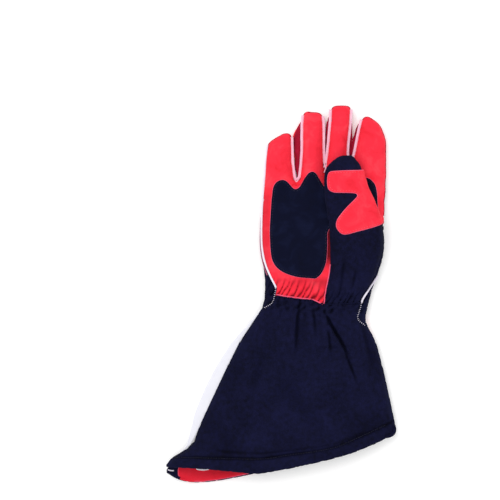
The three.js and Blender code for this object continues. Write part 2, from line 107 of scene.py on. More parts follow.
# Folds that the photo shows, each a valley with a soft ridge beside it: ends, depth, half width
FOLDS = (
    # from_x, from_y, to_x, to_y, depth, half_width
    (47.0, -20.0, 54.0, -34.0, 2.0, 1.7),
    (54.0, -34.0, 63.0, -49.0, 2.2, 1.5),
    (63.0, -49.0, 73.5, -76.0, 1.7, 1.5),
    (49.6, -31.0, 51.1, -50.0, 1.3, 1.5),
    (18.0, -15.0, 15.9, -48.0, 1.2, 2.0),
    (42.0, -56.0, 60.0, -54.5, 0.6, 1.6),
    (34.0, -14.0, 35.0, -26.0, 0.9, 1.6),
    (-12.0, -38.0, -24.0, -82.0, 0.5, 5.0),
    (84.0, -28.0, 92.0, -58.0, 0.6, 2.6),
    (65.0, 30.0, 62.0, 6.0, 1.0, 2.0),
    (77.0, 20.0, 73.0, 0.0, 0.9, 1.8),
)

PAD_OUTLINE = (
    (-8.2, 113.2), (-9.3, 105.0), (-10.0, 98.5), (-11.0, 83.0), (-11.8, 67.0), (-11.5, 57.0), (-11.0, 47.1),
    (-9.4, 37.0), (-5.6, 29.8), (-0.3, 25.0), (7.6, 21.0), (18.0, 18.2), (31.8, 16.9), (37.2, 16.9),
    (43.2, 22.9), (47.2, 31.9), (48.6, 41.0), (49.2, 56.0), (49.6, 66.0), (56.0, 73.0), (80.0, 78.0),
    (99.0, 80.0), (101.9, 88.8), (101.6, 98.0), (101.1, 107.0), (99.6, 114.5), (96.0, 120.0), (91.0, 123.2),
    (84.0, 123.4), (67.5, 123.8), (50.0, 118.0), (46.5, 113.0), (43.3, 117.0), (40.5, 121.5), (37.4, 127.3),
    (32.8, 130.0), (28.0, 127.0), (24.0, 120.6), (19.6, 113.5), (15.3, 110.9), (11.6, 113.5), (8.3, 117.2),
    (5.2, 120.0), (0.8, 121.0), (-4.6, 118.8),
)
THUMB_PATCH_OUTLINE = (
    (51.4, 128.8), (62.0, 129.6), (76.0, 130.0), (90.0, 130.4), (95.0, 123.0), (99.0, 108.0), (104.0, 92.0),
    (110.0, 79.0), (107.5, 74.8), (100.0, 72.0), (89.5, 68.8), (78.7, 66.0), (68.5, 63.3), (63.2, 63.8),
    (58.9, 68.0), (57.0, 73.3), (58.4, 79.0), (61.6, 83.8), (66.9, 90.4), (74.4, 98.0), (78.6, 102.4),
    (79.4, 104.4), (77.4, 105.6), (72.0, 106.2), (62.0, 106.4), (54.0, 107.0), (49.4, 110.0), (48.3, 115.0),
    (48.2, 121.0), (49.2, 126.5),
)
KNUCKLE_OUTLINE = (
    (102.4, 101.0), (102.8, 91.0), (98.6, 80.0), (92.0, 73.0), (83.4, 69.4), (70.0, 66.0), (56.3, 63.0),
    (42.0, 60.0), (29.2, 57.6), (14.0, 53.2), (-2.0, 47.0), (-10.0, 44.8), (-12.2, 60.0), (-12.0, 80.0),
    (-10.5, 98.0), (-8.5, 112.0), (-3.4, 118.0), (7.0, 121.4), (13.6, 119.0), (18.2, 115.4), (24.0, 115.0),
    (33.0, 120.4), (43.6, 122.6), (51.0, 120.0), (56.0, 117.6), (64.0, 118.6), (72.0, 122.4), (81.0, 122.8),
    (90.0, 117.0), (97.0, 110.0),
)
STRIPE_OUTLINE = (
    (-14.2, -176.4), (4.0, -163.6), (24.4, -148.3), (40.0, -134.5), (51.4, -122.7), (62.5, -109.0),
    (71.5, -95.4), (79.5, -82.0), (86.0, -70.0), (90.4, -56.0), (89.6, -44.0), (86.6, -30.0), (83.0, -19.2),
    (76.0, -10.5), (67.5, -3.0), (63.4, 3.0), (62.4, 10.0), (64.2, 19.0), (70.7, 24.4), (80.0, 26.6),
    (89.0, 29.0), (94.5, 38.0), (98.0, 50.0), (97.6, 60.6), (90.0, 61.4), (83.4, 60.3), (70.0, 57.2),
    (56.3, 54.0), (42.0, 51.6), (29.2, 49.0), (15.0, 44.4), (2.0, 36.0), (-4.4, 25.0), (-6.6, 12.0),
    (-3.0, -1.0), (3.6, -10.0), (10.2, -18.4), (19.0, -28.5), (29.1, -37.0), (38.0, -42.6), (41.4, -48.0),
    (39.0, -56.9), (33.0, -66.4), (24.9, -76.1), (7.8, -94.5), (-9.0, -109.0), (-26.1, -122.7),
    (-50.1, -141.9), (-74.0, -160.6), (-92.0, -176.5), (-99.0, -196.2), (-85.0, -197.3), (-67.7, -195.6),
    (-50.2, -192.5), (-27.6, -187.8),
)
# Right flank of the thumb, round which its patch is wrapped
FLANK_Y = (47.0, 67.0, 78.6, 93.3, 110.1, 120.6, 131.1, 136.0)
FLANK_X = (107.3, 107.3, 104.5, 98.4, 90.2, 87.3, 84.8, 82.5)
FLANK_TURN = 10.0  # where the wrap starts, this far in from the flank
FLANK_AXIS_Z = 24.0  # height of the line round which the rays turn
FLANK_STEPS = (-2.5, -1.2, 0.0, 1.2, 2.5)  # rays beside one another, of which the shortest counts

FACING_OUTLINE = (
    (-108.4, -189.0), (-107.8, -181.0), (-106.0, -173.0), (-70.0, -171.0), (-32.0, -171.0), (-22.0, -176.0),
    (-22.0, -186.4), (-36.0, -189.4), (-50.2, -192.3), (-67.7, -195.4), (-85.0, -197.1), (-98.1, -196.2),
    (-105.5, -193.6),
)

TAG_X = -81.6  # middle of the tag inside the mouth, which is curved about it

# White overlocked seams that stand out between the fingers, each from the tip to the crotch
FINGER_SEAMS = {
    "little_outer": ((11.6, 166.0), (12.0, 152.0), (12.7, 138.0), (14.4, 124.0), (16.2, 114.2)),
    "ring_inner": (
        (23.6, 189.0), (22.7, 172.0), (22.2, 152.0), (20.8, 133.0), (18.2, 119.0), (16.6, 114.0),
    ),
    "ring_outer": ((44.2, 188.0), (44.8, 170.0), (45.4, 152.0), (46.3, 140.0), (47.4, 133.0)),
    "middle_inner": ((53.0, 195.0), (52.6, 178.0), (51.0, 163.0), (49.3, 147.0), (47.9, 133.5)),
    "middle_outer": ((73.9, 195.0), (72.9, 178.0), (71.2, 162.0), (70.3, 149.0), (71.8, 137.0)),
    "index_inner": ((86.0, 184.0), (83.3, 175.0), (80.6, 162.0), (77.6, 149.0), (73.8, 137.5)),
}

# How far the walls stand out below each of those seams: side, then rows of y and distance
FINGER_SPREAD = {
    "little_outer": (1, (
        (114.0, 0.0), (121.0, 3.2), (132.0, 3.4), (146.0, 1.8), (160.0, 1.2), (168.0, 0.0),
    )),
    "ring_inner": (-1, (
        (117.0, 0.0), (122.0, 9.0), (128.0, 11.5), (134.0, 11.5), (144.0, 9.6), (158.0, 11.8),
        (174.0, 8.2), (183.0, 4.0), (190.0, 0.0),
    )),
    "ring_outer": (1, ((128.0, 2.5), (134.0, 3.2), (145.0, 2.8), (175.0, 2.4), (188.0, 0.0))),
    "middle_inner": (-1, (
        (128.0, 3.0), (134.0, 4.2), (146.0, 6.0), (165.0, 8.2), (180.0, 8.0), (190.0, 4.6), (195.0, 0.0),
    )),
    "middle_outer": (1, (
        (138.0, 4.0), (148.0, 8.0), (163.0, 8.2), (177.0, 6.8), (187.0, 3.0), (195.0, 0.0),
    )),
    "index_inner": (-1, (
        (138.0, 3.0), (142.0, 7.0), (148.0, 10.6), (157.0, 10.6), (165.0, 9.6), (172.0, 8.4),
        (180.0, 5.6), (186.0, 0.0),
    )),
}

# Folded cloth between the walls at the crotches
CORD_HEIGHT = 7.6
CROTCH_CORDS = {
    "little_ring_fold": ((17.2, 123.0), (16.8, 119.0), (16.2, 114.4)),
    "ring_middle_fold": ((48.4, 141.0), (47.6, 136.0), (46.8, 130.0)),
}
# Folded cloth that closes the palm across the bottom of a crotch
CROTCH_FILLS = {
    "little_ring_web": ((13.0, 114.8), (14.6, 113.0), (16.4, 112.3), (18.2, 113.0), (19.8, 114.8)),
}
# The short tack where two seams meet
CROTCH_TACKS = {
    "ring_middle_tack": ((47.7, 134.4), (46.9, 131.4), (45.8, 128.4)),
}

# Thin cut edges round the fingertips and down the outer sides of the hand, in darker suede as a painted
# shadow line along the outline
FINGER_RIMS = {
    "little": (
        (-17.6, 112.0), (-17.0, 121.5), (-16.2, 140.5), (-13.2, 157.0), (-12.0, 160.0), (-6.2, 164.5),
        (-0.5, 167.7), (3.4, 169.6), (8.0, 169.6), (10.8, 168.0), (11.3, 165.0),
    ),
    "ring": (
        (23.3, 186.0), (24.2, 189.4), (27.6, 191.5), (34.0, 191.9), (40.6, 191.5), (43.6, 189.4),
        (44.2, 186.0),
    ),
    "middle": (
        (53.2, 193.0), (54.0, 196.5), (57.2, 198.4), (64.0, 198.7), (71.7, 198.4), (73.8, 196.2),
        (73.7, 192.6),
    ),
    "index": (
        (85.4, 182.5), (87.6, 186.6), (91.0, 187.6), (94.4, 186.5), (100.4, 182.4), (105.6, 177.2),
        (109.0, 170.4), (110.9, 162.8), (111.2, 151.0), (111.1, 136.3), (110.9, 121.5), (110.6, 110.0),
        (109.5, 95.0), (109.2, 83.0),
    ),
}

# White seams on the backs of the fingers, each up to a point short of the tip and down again
BACK_ARCHES = {
    "little_back": (
        (-13.6, 112.0), (-14.0, 124.0), (-13.4, 142.0), (-11.0, 153.0), (-5.0, 160.0), (1.6, 164.4),
        (6.4, 158.0), (8.4, 146.0), (9.6, 130.0), (12.6, 117.0),
    ),
    "ring_back": (
        (19.6, 117.0), (23.6, 130.0), (26.2, 145.0), (26.6, 165.0), (28.4, 176.0), (34.4, 187.0),
        (40.2, 177.0), (41.8, 165.0), (42.0, 145.0), (43.4, 130.0), (46.0, 119.0),
    ),
    "middle_back": (
        (49.4, 119.0), (51.0, 132.0), (53.4, 146.0), (54.6, 163.0), (56.2, 181.0), (63.8, 194.6),
        (70.6, 182.0), (68.6, 163.0), (67.0, 148.0), (68.8, 134.0), (72.0, 121.0),
    ),
    "index_back": (
        (76.0, 121.0), (77.8, 134.0), (81.6, 148.0), (84.2, 160.0), (86.6, 170.0), (91.6, 183.6),
        (100.6, 174.0), (106.0, 160.0), (107.4, 146.0), (107.2, 130.0), (106.0, 112.0),
    ),
}

# The palm panel's pale cut edge: along the elastic and up beside the ball of the thumb
CUFF_EDGE = (
    (-4.6, 0.4), (6.0, -1.4), (18.5, -3.1), (31.8, -4.4), (38.0, -6.6), (44.9, -9.6), (46.0, -2.0),
    (48.2, 10.3), (50.6, 22.0), (51.7, 32.0),
)

# White side seams on the edge of the palm and where the back turns up at the wrist
SIDE_SEAMS = {
    "palm_side": (
        (-13.9, 158.0), (-15.0, 150.0), (-15.9, 142.0), (-17.0, 124.0), (-18.6, 106.0), (-19.3, 96.0),
        (-19.9, 84.0), (-20.3, 67.0), (-19.9, 52.0), (-18.0, 39.5), (-15.4, 30.0), (-13.2, 24.6),
        (-10.0, 17.6), (-6.5, 11.0), (-5.0, 7.6),
    ),
    "thumb_side": ((102.4, 20.4), (98.0, 13.6), (94.3, 8.3), (86.4, -3.6), (84.9, -8.0)),
}
# Their lower ends, where only the thread is white
WRIST_SEAMS = {
    "little_wrist": ((-5.0, 7.6), (-6.5, 0.0), (-7.9, -6.4), (-10.4, -9.8), (-18.0, -14.0)),
    "thumb_wrist": (
        (84.9, -8.0), (83.3, -14.9), (80.7, -21.9), (81.2, -25.9), (84.8, -29.4), (89.3, -32.6),
    ),
}
# The mauve cord outside the palm's side seam
SIDE_CORD = (
    (-20.4, 82.0), (-20.9, 74.0), (-21.3, 66.0), (-21.4, 54.0), (-20.2, 41.0), (-18.3, 33.0),
    (-16.5, 26.6), (-14.0, 20.6),
)
# The rounded corner of the front hem on the thumb's side
HEM_CORNER = ((110.0, -148.4), (114.6, -147.8), (118.4, -145.6), (119.7, -141.8), (118.8, -137.4))
# A few stitches that close the tip of the mouth
TIP_TACK = ((-118.6, -184.2), (-115.6, -185.4), (-112.4, -185.2))


class GloveSizes(bpy.types.PropertyGroup):
    """Sizes of the glove's cloth, thread and trim."""

    shell_grain: FloatProperty(
        name="Shell grain", description="Longest edge of the shell",
        default=2.4 * MM, unit="LENGTH")
    gather_grain: FloatProperty(
        name="Gather grain", description="Longest edge at the wrist",
        default=1.5 * MM, unit="LENGTH")
    shell_fill: FloatProperty(
        name="Shell fill", description="How far the softened shell is filled out",
        default=0.8 * MM, unit="LENGTH")
    patch_pitch: FloatProperty(
        name="Patch grain", description="Size of a sewn panel's facets",
        default=1.2 * MM, unit="LENGTH")
    patch_thickness: FloatProperty(
        name="Suede", description="Thickness of a sewn suede panel",
        default=1.15 * MM, unit="LENGTH")
    edge_width: FloatProperty(
        name="Cut edge", description="Width of the pale cut edge round a panel",
        default=0.7 * MM, unit="LENGTH")
    seam_width: FloatProperty(
        name="Overlocked seam", description="Width of the seams between the fingers",
        default=3.2 * MM, unit="LENGTH")
    stitch_pitch: FloatProperty(
        name="Stitch pitch", description="Spacing of the overlock stitches",
        default=1.7 * MM, unit="LENGTH")
    gather_depth: FloatProperty(
        name="Gathers", description="Depth of the gathers at the elastic",
        default=1.7 * MM, unit="LENGTH")


class GloveColours(bpy.types.PropertyGroup):
    """Colours of the glove's cloth, thread and trim."""

    navy: FloatVectorProperty(
        name="Navy knit", description="Colour of the knit", subtype="COLOR", size=3,
        default=(0.0041, 0.0045, 0.0205))
    red: FloatVectorProperty(
        name="Red suede", description="Colour of the suede", subtype="COLOR", size=3,
        default=(0.86, 0.025, 0.050))
    pad: FloatVectorProperty(
        name="Dark suede", description="Colour of the palm pad", subtype="COLOR", size=3,
        default=(0.0032, 0.0042, 0.0160))
    edge: FloatVectorProperty(
        name="Cut edge", description="Colour of a panel's cut edge", subtype="COLOR", size=3,
        default=(0.80, 0.095, 0.18))
    white: FloatVectorProperty(
        name="White thread", description="Colour of the overlock thread", subtype="COLOR", size=3,
        default=(0.84, 0.82, 0.90))
    blush: FloatVectorProperty(
        name="Finger seams", description="Colour of the thread beside red cloth", subtype="COLOR", size=3,
        default=(0.88, 0.60, 0.72))
    tape: FloatVectorProperty(
        name="White tape", description="Colour of the binding tape", subtype="COLOR", size=3,
        default=(0.80, 0.80, 0.86))


def sizes():
    return bpy.context.scene.glove_sizes


def colours():
    return bpy.context.scene.glove_colours


# Shader node groups

def group_tree(name, colour_inputs, value_inputs=()):
    """A node group that takes a vector, some colours and some values, and puts out a cloth's surface."""
    tree = bpy.data.node_groups.new(name, "ShaderNodeTree")
    tree.interface.new_socket("Vector", in_out="INPUT", socket_type="NodeSocketVector")
    for label in colour_inputs:
        tree.interface.new_socket(label, in_out="INPUT", socket_type="NodeSocketColor")
    for label in value_inputs:
        tree.interface.new_socket(label, in_out="INPUT", socket_type="NodeSocketFloat")
    tree.interface.new_socket("Colour", in_out="OUTPUT", socket_type="NodeSocketColor")
    tree.interface.new_socket("Height", in_out="OUTPUT", socket_type="NodeSocketFloat")
    tree.interface.new_socket("Roughness", in_out="OUTPUT", socket_type="NodeSocketFloat")
    start = tree.nodes.new("NodeGroupInput")
    end = tree.nodes.new("NodeGroupOutput")
    return tree, start, end


def add(tree, kind, values=None, **settings):
    node = tree.nodes.new(kind)
    for key, value in settings.items():
        setattr(node, key, value)
    for key, value in (values or {}).items():
        node.inputs[key].default_value = value
    return node


def noise(tree, vector, scale, detail=2.0, roughness=0.5, distortion=0.0):
    values = {"Scale": scale, "Detail": detail, "Roughness": roughness, "Distortion": distortion}
    node = add(tree, "ShaderNodeTexNoise", values)
    tree.links.new(vector, node.inputs["Vector"])
    return node.outputs["Fac"]


def spread(tree, value, low, high, out_low=0.0, out_high=1.0):
    values = {"From Min": low, "From Max": high, "To Min": out_low, "To Max": out_high}
    node = add(tree, "ShaderNodeMapRange", values)
    tree.links.new(value, node.inputs["Value"])
    return node.outputs["Result"]


def maths(tree, operation, a, b):
    node = add(tree, "ShaderNodeMath", operation=operation)
    for socket, value in zip(node.inputs, (a, b)):
        if isinstance(value, (int, float)):
            socket.default_value = value
        else:
            tree.links.new(value, socket)
    return node.outputs[0]


def mixed(tree, factor, a, b):
    node = add(tree, "ShaderNodeMix", data_type="RGBA")
    for socket, value in ((node.inputs[0], factor), (node.inputs[6], a), (node.inputs[7], b)):
        if isinstance(value, (tuple, float)):
            socket.default_value = value
        else:
            tree.links.new(value, socket)
    return node.outputs[2]


def knit_group():
    """Fine double knit: cords of loops a millimetre apart, with flecks of lighter fibre."""
    tree, start, end = group_tree("Knit surface", ("Colour",), ("Fleck",))
    vector = start.outputs["Vector"]
    loops = add(tree, "ShaderNodeTexVoronoi", {"Scale": 850.0, "Randomness": 0.75}, feature="SMOOTH_F1")
    tree.links.new(vector, loops.inputs["Vector"])
    fibre = noise(tree, vector, 2600.0, 2.0)
    cloud = noise(tree, vector, 28.0, 4.0, 0.6)
    patchy = noise(tree, vector, 210.0, 3.0, 0.65)
    sunk = maths(tree, "MULTIPLY", loops.outputs["Distance"], -0.9)
    height = maths(tree, "ADD", sunk, maths(tree, "MULTIPLY", fibre, 0.35))
    fleck = maths(tree, "MULTIPLY", spread(tree, fibre, 0.52, 0.75), start.outputs["Fleck"])
    wide_shade = spread(tree, cloud, 0.3, 0.7, 0.68, 1.34)
    shade = maths(tree, "ADD", wide_shade, spread(tree, patchy, 0.3, 0.7, -0.42, 0.42))
    tone = add(tree, "ShaderNodeMix", {0: 1.0}, data_type="RGBA", blend_type="MULTIPLY")
    tree.links.new(start.outputs["Colour"], tone.inputs[6])
    grey = add(tree, "ShaderNodeCombineColor")
    for socket in ("Red", "Green", "Blue"):
        tree.links.new(shade, grey.inputs[socket])
    tree.links.new(grey.outputs[0], tone.inputs[7])
    lighter = mixed(tree, fleck, tone.outputs[2], (0.022, 0.025, 0.070, 1.0))
    tree.links.new(lighter, end.inputs["Colour"])
    tree.links.new(height, end.inputs["Height"])
    tree.links.new(spread(tree, patchy, 0.3, 0.7, 0.82, 0.98), end.inputs["Roughness"])
    return tree


def suede_group():
    """Brushed nap that lies in different directions from place to place."""
    tree, start, end = group_tree("Suede nap", ("Colour", "Light nap", "Dark nap"))
    vector = start.outputs["Vector"]
    plain, light_nap, dark_nap = (start.outputs[key] for key in ("Colour", "Light nap", "Dark nap"))
    strokes = noise(tree, vector, 55.0, 5.0, 0.62, 0.6)
    grain = noise(tree, vector, 900.0, 3.0, 0.6)
    hair = noise(tree, vector, 3200.0, 1.0)
    light = mixed(tree, spread(tree, strokes, 0.5, 0.78, 0.0, 0.75), plain, light_nap)
    dark = mixed(tree, spread(tree, strokes, 0.46, 0.24, 0.0, 0.7), light, dark_nap)
    speck = mixed(tree, spread(tree, grain, 0.55, 0.8, 0.0, 0.35), dark, dark_nap)
    height = maths(tree, "ADD", maths(tree, "MULTIPLY", grain, 0.7), maths(tree, "MULTIPLY", hair, 0.5))
    tree.links.new(speck, end.inputs["Colour"])
    tree.links.new(height, end.inputs["Height"])
    tree.links.new(spread(tree, strokes, 0.3, 0.7, 0.8, 0.97), end.inputs["Roughness"])
    return tree


def weave_group():
    """Narrow woven tape: fine crossed threads."""
    tree, start, end = group_tree("Tape weave", ("Colour", "Shadow"))
    vector = start.outputs["Vector"]
    shadow = start.outputs["Shadow"]
    heights = []
    values = {"Scale": 330.0, "Distortion": 1.2, "Detail": 1.0, "Detail Scale": 2.0}
    for direction in ("X", "Y"):
        wave = add(tree, "ShaderNodeTexWave", values, bands_direction=direction)
        tree.links.new(vector, wave.inputs["Vector"])
        heights.append(wave.outputs["Fac"])
    weave = maths(tree, "MULTIPLY", heights[0], heights[1])
    cloud = noise(tree, vector, 120.0, 3.0, 0.6)
    tint = mixed(tree, spread(tree, cloud, 0.35, 0.75, 0.0, 0.45), start.outputs["Colour"], shadow)
    tone = mixed(tree, spread(tree, weave, 0.25, 0.0, 0.0, 0.3), tint, shadow)
    tree.links.new(tone, end.inputs["Colour"])
    tree.links.new(weave, end.inputs["Height"])
    tree.links.new(spread(tree, cloud, 0.3, 0.7, 0.62, 0.8), end.inputs["Roughness"])
    return tree


GROUPS = {"Knit surface": knit_group, "Suede nap": suede_group, "Tape weave": weave_group}
ROSY = (1.0, 0.6, 0.6)

# Each cloth: its group, what goes into that, bump strength, bump height in millimetres, and the shader's
# sheen and specular values, with the shadow colour toward which painted shade darkens it. A colour given as
# a word is one of the panel's colours.
CLOTHS = {
    "Navy knit": (
        "Knit surface", {"Colour": "navy", "Fleck": 0.28},
        0.55, 0.35, {"sheen": 0.02, "sheen_tint": (0.5, 0.55, 1.0), "specular": 0.06}),
    "Red suede": (
        "Suede nap", {"Colour": "red", "Light nap": (0.96, 0.07, 0.10), "Dark nap": (0.66, 0.008, 0.02)},
        0.35, 0.25, {"sheen": 0.05, "sheen_tint": ROSY, "specular": 0.12, "shadow": (0.11, 0.03, 0.09)}),
    # A darker copy of the red suede: painted shade for the walls and folds deep between the fingers, and a
    # painted shadow line round the fingertips.
    "Deep red suede": (
        "Suede nap",
        {"Colour": (0.34, 0.004, 0.024), "Light nap": (0.50, 0.014, 0.055),
         "Dark nap": (0.15, 0.002, 0.018)},
        0.35, 0.25, {"sheen": 0.05, "sheen_tint": ROSY, "specular": 0.12}),
    # A darker copy of the red suede: painted shade on the facing inside the glove's mouth.
    "Facing suede": (
        "Suede nap",
        {"Colour": (0.68, 0.014, 0.032), "Light nap": (0.70, 0.03, 0.055),
         "Dark nap": (0.42, 0.006, 0.016)},
        0.35, 0.25, {"sheen": 0.05, "sheen_tint": ROSY, "specular": 0.12}),
    "Dark suede": (
        "Suede nap",
        {"Colour": "pad", "Light nap": (0.0085, 0.0115, 0.038), "Dark nap": (0.002, 0.0024, 0.009)},
        0.4, 0.3, {"sheen": 0.02, "sheen_tint": (0.5, 0.6, 1.0), "specular": 0.05}),
    "Pale cut edge": (
        "Suede nap", {"Colour": "edge", "Light nap": (0.86, 0.22, 0.32), "Dark nap": (0.68, 0.04, 0.09)},
        0.6, 0.3, {"sheen": 0.05, "specular": 0.12}),
    "Mauve cord": (
        "Suede nap",
        {"Colour": (0.33, 0.09, 0.15), "Light nap": (0.55, 0.22, 0.32), "Dark nap": (0.16, 0.03, 0.06)},
        0.5, 0.3, {"sheen": 0.05, "specular": 0.12}),
    "White thread": (
        "Tape weave", {"Colour": "white", "Shadow": (0.62, 0.50, 0.66)},
        0.4, 0.2, {"sheen": 0.1, "specular": 0.25}),
    "Blush thread": (
        "Tape weave", {"Colour": "blush", "Shadow": (0.72, 0.28, 0.42)},
        0.4, 0.2, {"sheen": 0.1, "specular": 0.25}),
    "Red thread": (
        "Tape weave", {"Colour": (0.85, 0.10, 0.16), "Shadow": (0.5, 0.01, 0.03)},
        0.4, 0.2, {"sheen": 0.1, "specular": 0.25}),
    "Navy thread": (
        "Tape weave", {"Colour": (0.007, 0.008, 0.030), "Shadow": (0.002, 0.003, 0.010)},
        0.4, 0.2, {"sheen": 0.1, "specular": 0.25}),
    "White tape": (
        "Tape weave", {"Colour": "tape", "Shadow": (0.74, 0.74, 0.82)},
        0.5, 0.25, {"sheen": 0.05, "specular": 0.3}),
}


def cloth(name):
    """The named cloth as a material, which is made when it is first asked for."""
    found = bpy.data.materials.get(name)
    if found:
        return found
    group, inputs, bump, height, shine_and_shade = CLOTHS[name]
    material = bpy.data.materials.new(name)
    material.use_nodes = True
    tree = material.node_tree
    shader = tree.nodes["Principled BSDF"]
    shader.inputs["Specular IOR Level"].default_value = shine_and_shade["specular"]
    shader.inputs["Sheen Weight"].default_value = shine_and_shade["sheen"]
    shader.inputs["Sheen Roughness"].default_value = 0.45
    shader.inputs["Sheen Tint"].default_value = (*shine_and_shade.get("sheen_tint", (1.0, 1.0, 1.0)), 1.0)
    coords = add(tree, "ShaderNodeTexCoord")
    surface = add(tree, "ShaderNodeGroup", node_tree=bpy.data.node_groups.get(group) or GROUPS[group]())
    tree.links.new(coords.outputs["Object"], surface.inputs["Vector"])
    for key, value in inputs.items():
        if isinstance(value, str):
            value = tuple(getattr(colours(), value))
        surface.inputs[key].default_value = (*value, 1.0) if isinstance(value, tuple) else value
    relief = add(tree, "ShaderNodeBump", {"Strength": bump, "Distance": height * MM})
    tree.links.new(surface.outputs["Height"], relief.inputs["Height"])
    tree.links.new(relief.outputs["Normal"], shader.inputs["Normal"])
    # Painted shade: the point attribute set by press() mixes the colour toward the cloth's shadow colour.
    crease = add(tree, "ShaderNodeAttribute", attribute_name="crease", attribute_type="GEOMETRY")
    shadow = (*shine_and_shade.get("shadow", (0.2, 0.2, 0.28)), 1.0)
    shaded = add(tree, "ShaderNodeMix", {7: shadow}, data_type="RGBA", blend_type="MULTIPLY")
    tree.links.new(crease.outputs["Fac"], shaded.inputs[0])
    tree.links.new(surface.outputs["Colour"], shaded.inputs[6])
    tree.links.new(shaded.outputs[2], shader.inputs["Base Color"])
    tree.links.new(surface.outputs["Roughness"], shader.inputs["Roughness"])
    return material


# Making and dressing objects

def finished(name, mesh, cloth_names, node_names):
    """An object at the origin that rides on the glove and stands for its CAD nodes."""
    piece = bpy.data.objects.new(name, mesh)
    bpy.context.scene.collection.objects.link(piece)
    for cloth_name in cloth_names:
        piece.data.materials.append(cloth(cloth_name))
    piece.data.shade_smooth()
    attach(piece, "root")
    if node_names:
        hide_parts(*node_names)
    return piece


def evaluated_mesh(piece):
    """The mesh of an object with its modifiers applied."""
    bpy.context.view_layer.update()
    graph = bpy.context.evaluated_depsgraph_get()
    return bpy.data.meshes.new_from_object(piece.evaluated_get(graph))


def softened(mesh, rounds):
    """The mesh after some rounds of the Smooth modifier; the one given is removed."""
    holder = bpy.data.objects.new("holder", mesh)
    bpy.context.scene.collection.objects.link(holder)
    smooth = holder.modifiers.new("soften", "SMOOTH")
    smooth.factor = 0.5
    smooth.iterations = rounds
    result = evaluated_mesh(holder)
    bpy.data.objects.remove(holder)
    bpy.data.meshes.remove(mesh)
    return result


def soft_copy(node_name, coarse, fine, rounds, fill=0.0):
    """The node's solid with its long edges divided and its facets smoothed away.

    Edges are finer round the gathered wrist. The surface is then moved outwards a little, which
    makes up for what the smoothing took."""
    bm = bmesh.new()
    bm.from_mesh(frame["nodes"][node_name].data)
    bmesh.ops.remove_doubles(bm, verts=bm.verts, dist=0.002 * MM)
    for _ in range(12):
        long_edges = []
        for edge in bm.edges:
            y = (edge.verts[0].co.y + edge.verts[1].co.y) / 2
            if edge.calc_length() > (fine if WRIST_LOW < y < WRIST_HIGH else coarse):
                long_edges.append(edge)
        if not long_edges:
            break
        bmesh.ops.subdivide_edges(bm, edges=long_edges, cuts=1)
        bmesh.ops.triangulate(bm, faces=[f for f in bm.faces if len(f.verts) > 3], quad_method="SHORT_EDGE")
    mesh = bpy.data.meshes.new("divided " + node_name)
    bm.to_mesh(mesh)
    bm.free()
    result = softened(mesh, rounds)
    normals = np.empty(len(result.vertices) * 3, np.float32)
    result.vertex_normals.foreach_get("vector", normals)
    normals = normals.reshape(-1, 3)
    normals[:, 2] = np.maximum(normals[:, 2], 0.0) * 0.6
    set_coordinates(result, coordinates(result) + normals * fill)
    return result


def coordinates(mesh):
    co = np.empty(len(mesh.vertices) * 3, np.float32)
    mesh.vertices.foreach_get("co", co)
    return co.reshape(-1, 3).astype(float)


def set_coordinates(mesh, co):
    mesh.vertices.foreach_set("co", co.astype(np.float32).ravel())
    mesh.update()


# Relief of the cloth, in millimetres, worked out for whole arrays of points

def ramp(value, over):
    """From 0 to 1 while the value runs from 0 to the given reach."""
    return np.clip(value / over, 0.0, 1.0)


def bell(value, width):
    """1 at 0, and falling off smoothly on both sides."""
    return np.exp(-((value / width) ** 2))


def beyond(value):
    """The part of a value above 0."""
    return np.clip(value, 0.0, None)


def ripple(x, y):
    """Slow unevenness of soft cloth."""
    wide = np.sin(x / 17.0 + y / 31.0 + 1.0) * np.sin(y / 23.0 - x / 47.0 + 0.4)
    narrow = np.sin(x / 7.1 + 0.7 * np.sin(y / 19.0)) * np.sin(y / 9.3 + x / 25.0 + 2.0)
    return 0.4 * wide + 0.16 * narrow


def pleats(phase):
    """Rounded pleats with sharp valleys between them, from -1 to 1."""
    return 2.0 * np.abs(np.sin(phase / 2.0)) ** 0.8 - 1.0


def gathers(x, y):
    """Pleats that fan out from the elastic, on the gauntlet and on the cuff above it."""
    depth = sizes().gather_depth / MM
    below = np.interp(x, ELASTIC_X, ELASTIC_Y) - y
    fan = 32.0 + (x - 32.0) / (1.0 + 0.009 * np.clip(below, 0.0, 80.0))
    phase = fan / 1.05 + 1.3 * np.sin(fan * 0.31) + 0.9 * np.sin(fan * 0.13 + 1.0)
    uneven = 0.65 + 0.35 * np.sin(fan * 0.23 + 2.0) * np.sin(fan * 0.071)
    gauntlet = 0.72 * pleats(phase) * uneven * np.exp(-((beyond(below) / 13.0) ** 1.4))
    crumple = np.sin(x / 1.7 + 2.0 * np.sin(y / 4.1)) * np.sin(y / 2.4 + 1.6 * np.sin(x / 5.3))
    gauntlet += 0.85 * crumple * bell(below - 7.0, 8.0)
    above = beyond(-below)
    slant = x - 0.42 * above - 2.0 * np.sin(above / 9.0)
    reach = np.where(x < 46.0, 17.0, 13.0)
    wander = 1.2 * np.sin(slant * 0.29) + 0.8 * np.sin(slant * 0.83 + above / 3.0)
    ruffle = pleats(slant / 0.86 + wander) * np.exp(-((above / reach) ** 3.0))
    pinch = 0.7 * bell(below, 2.2)
    return depth * np.where(below > 0.0, gauntlet, ruffle * np.where(x < 45.0, 1.1, 0.8)) - pinch


def pressed_folds(x, y):
    """Single folds: a valley and, beside it, a softer ridge."""
    height = np.zeros_like(x)
    for from_x, from_y, to_x, to_y, depth, width in FOLDS:
        run_x, run_y = to_x - from_x, to_y - from_y
        length = math.hypot(run_x, run_y)
        along = ((x - from_x) * run_x + (y - from_y) * run_y) / length
        across = ((x - from_x) * run_y - (y - from_y) * run_x) / length
        fade = bell(beyond(-along), 6.0) * bell(beyond(along - length), 14.0)
        valley = bell(across, width)
        ridge = bell(across - 1.9 * width, 1.4 * width)
        height += depth * fade * (0.5 * ridge - valley)
    return height


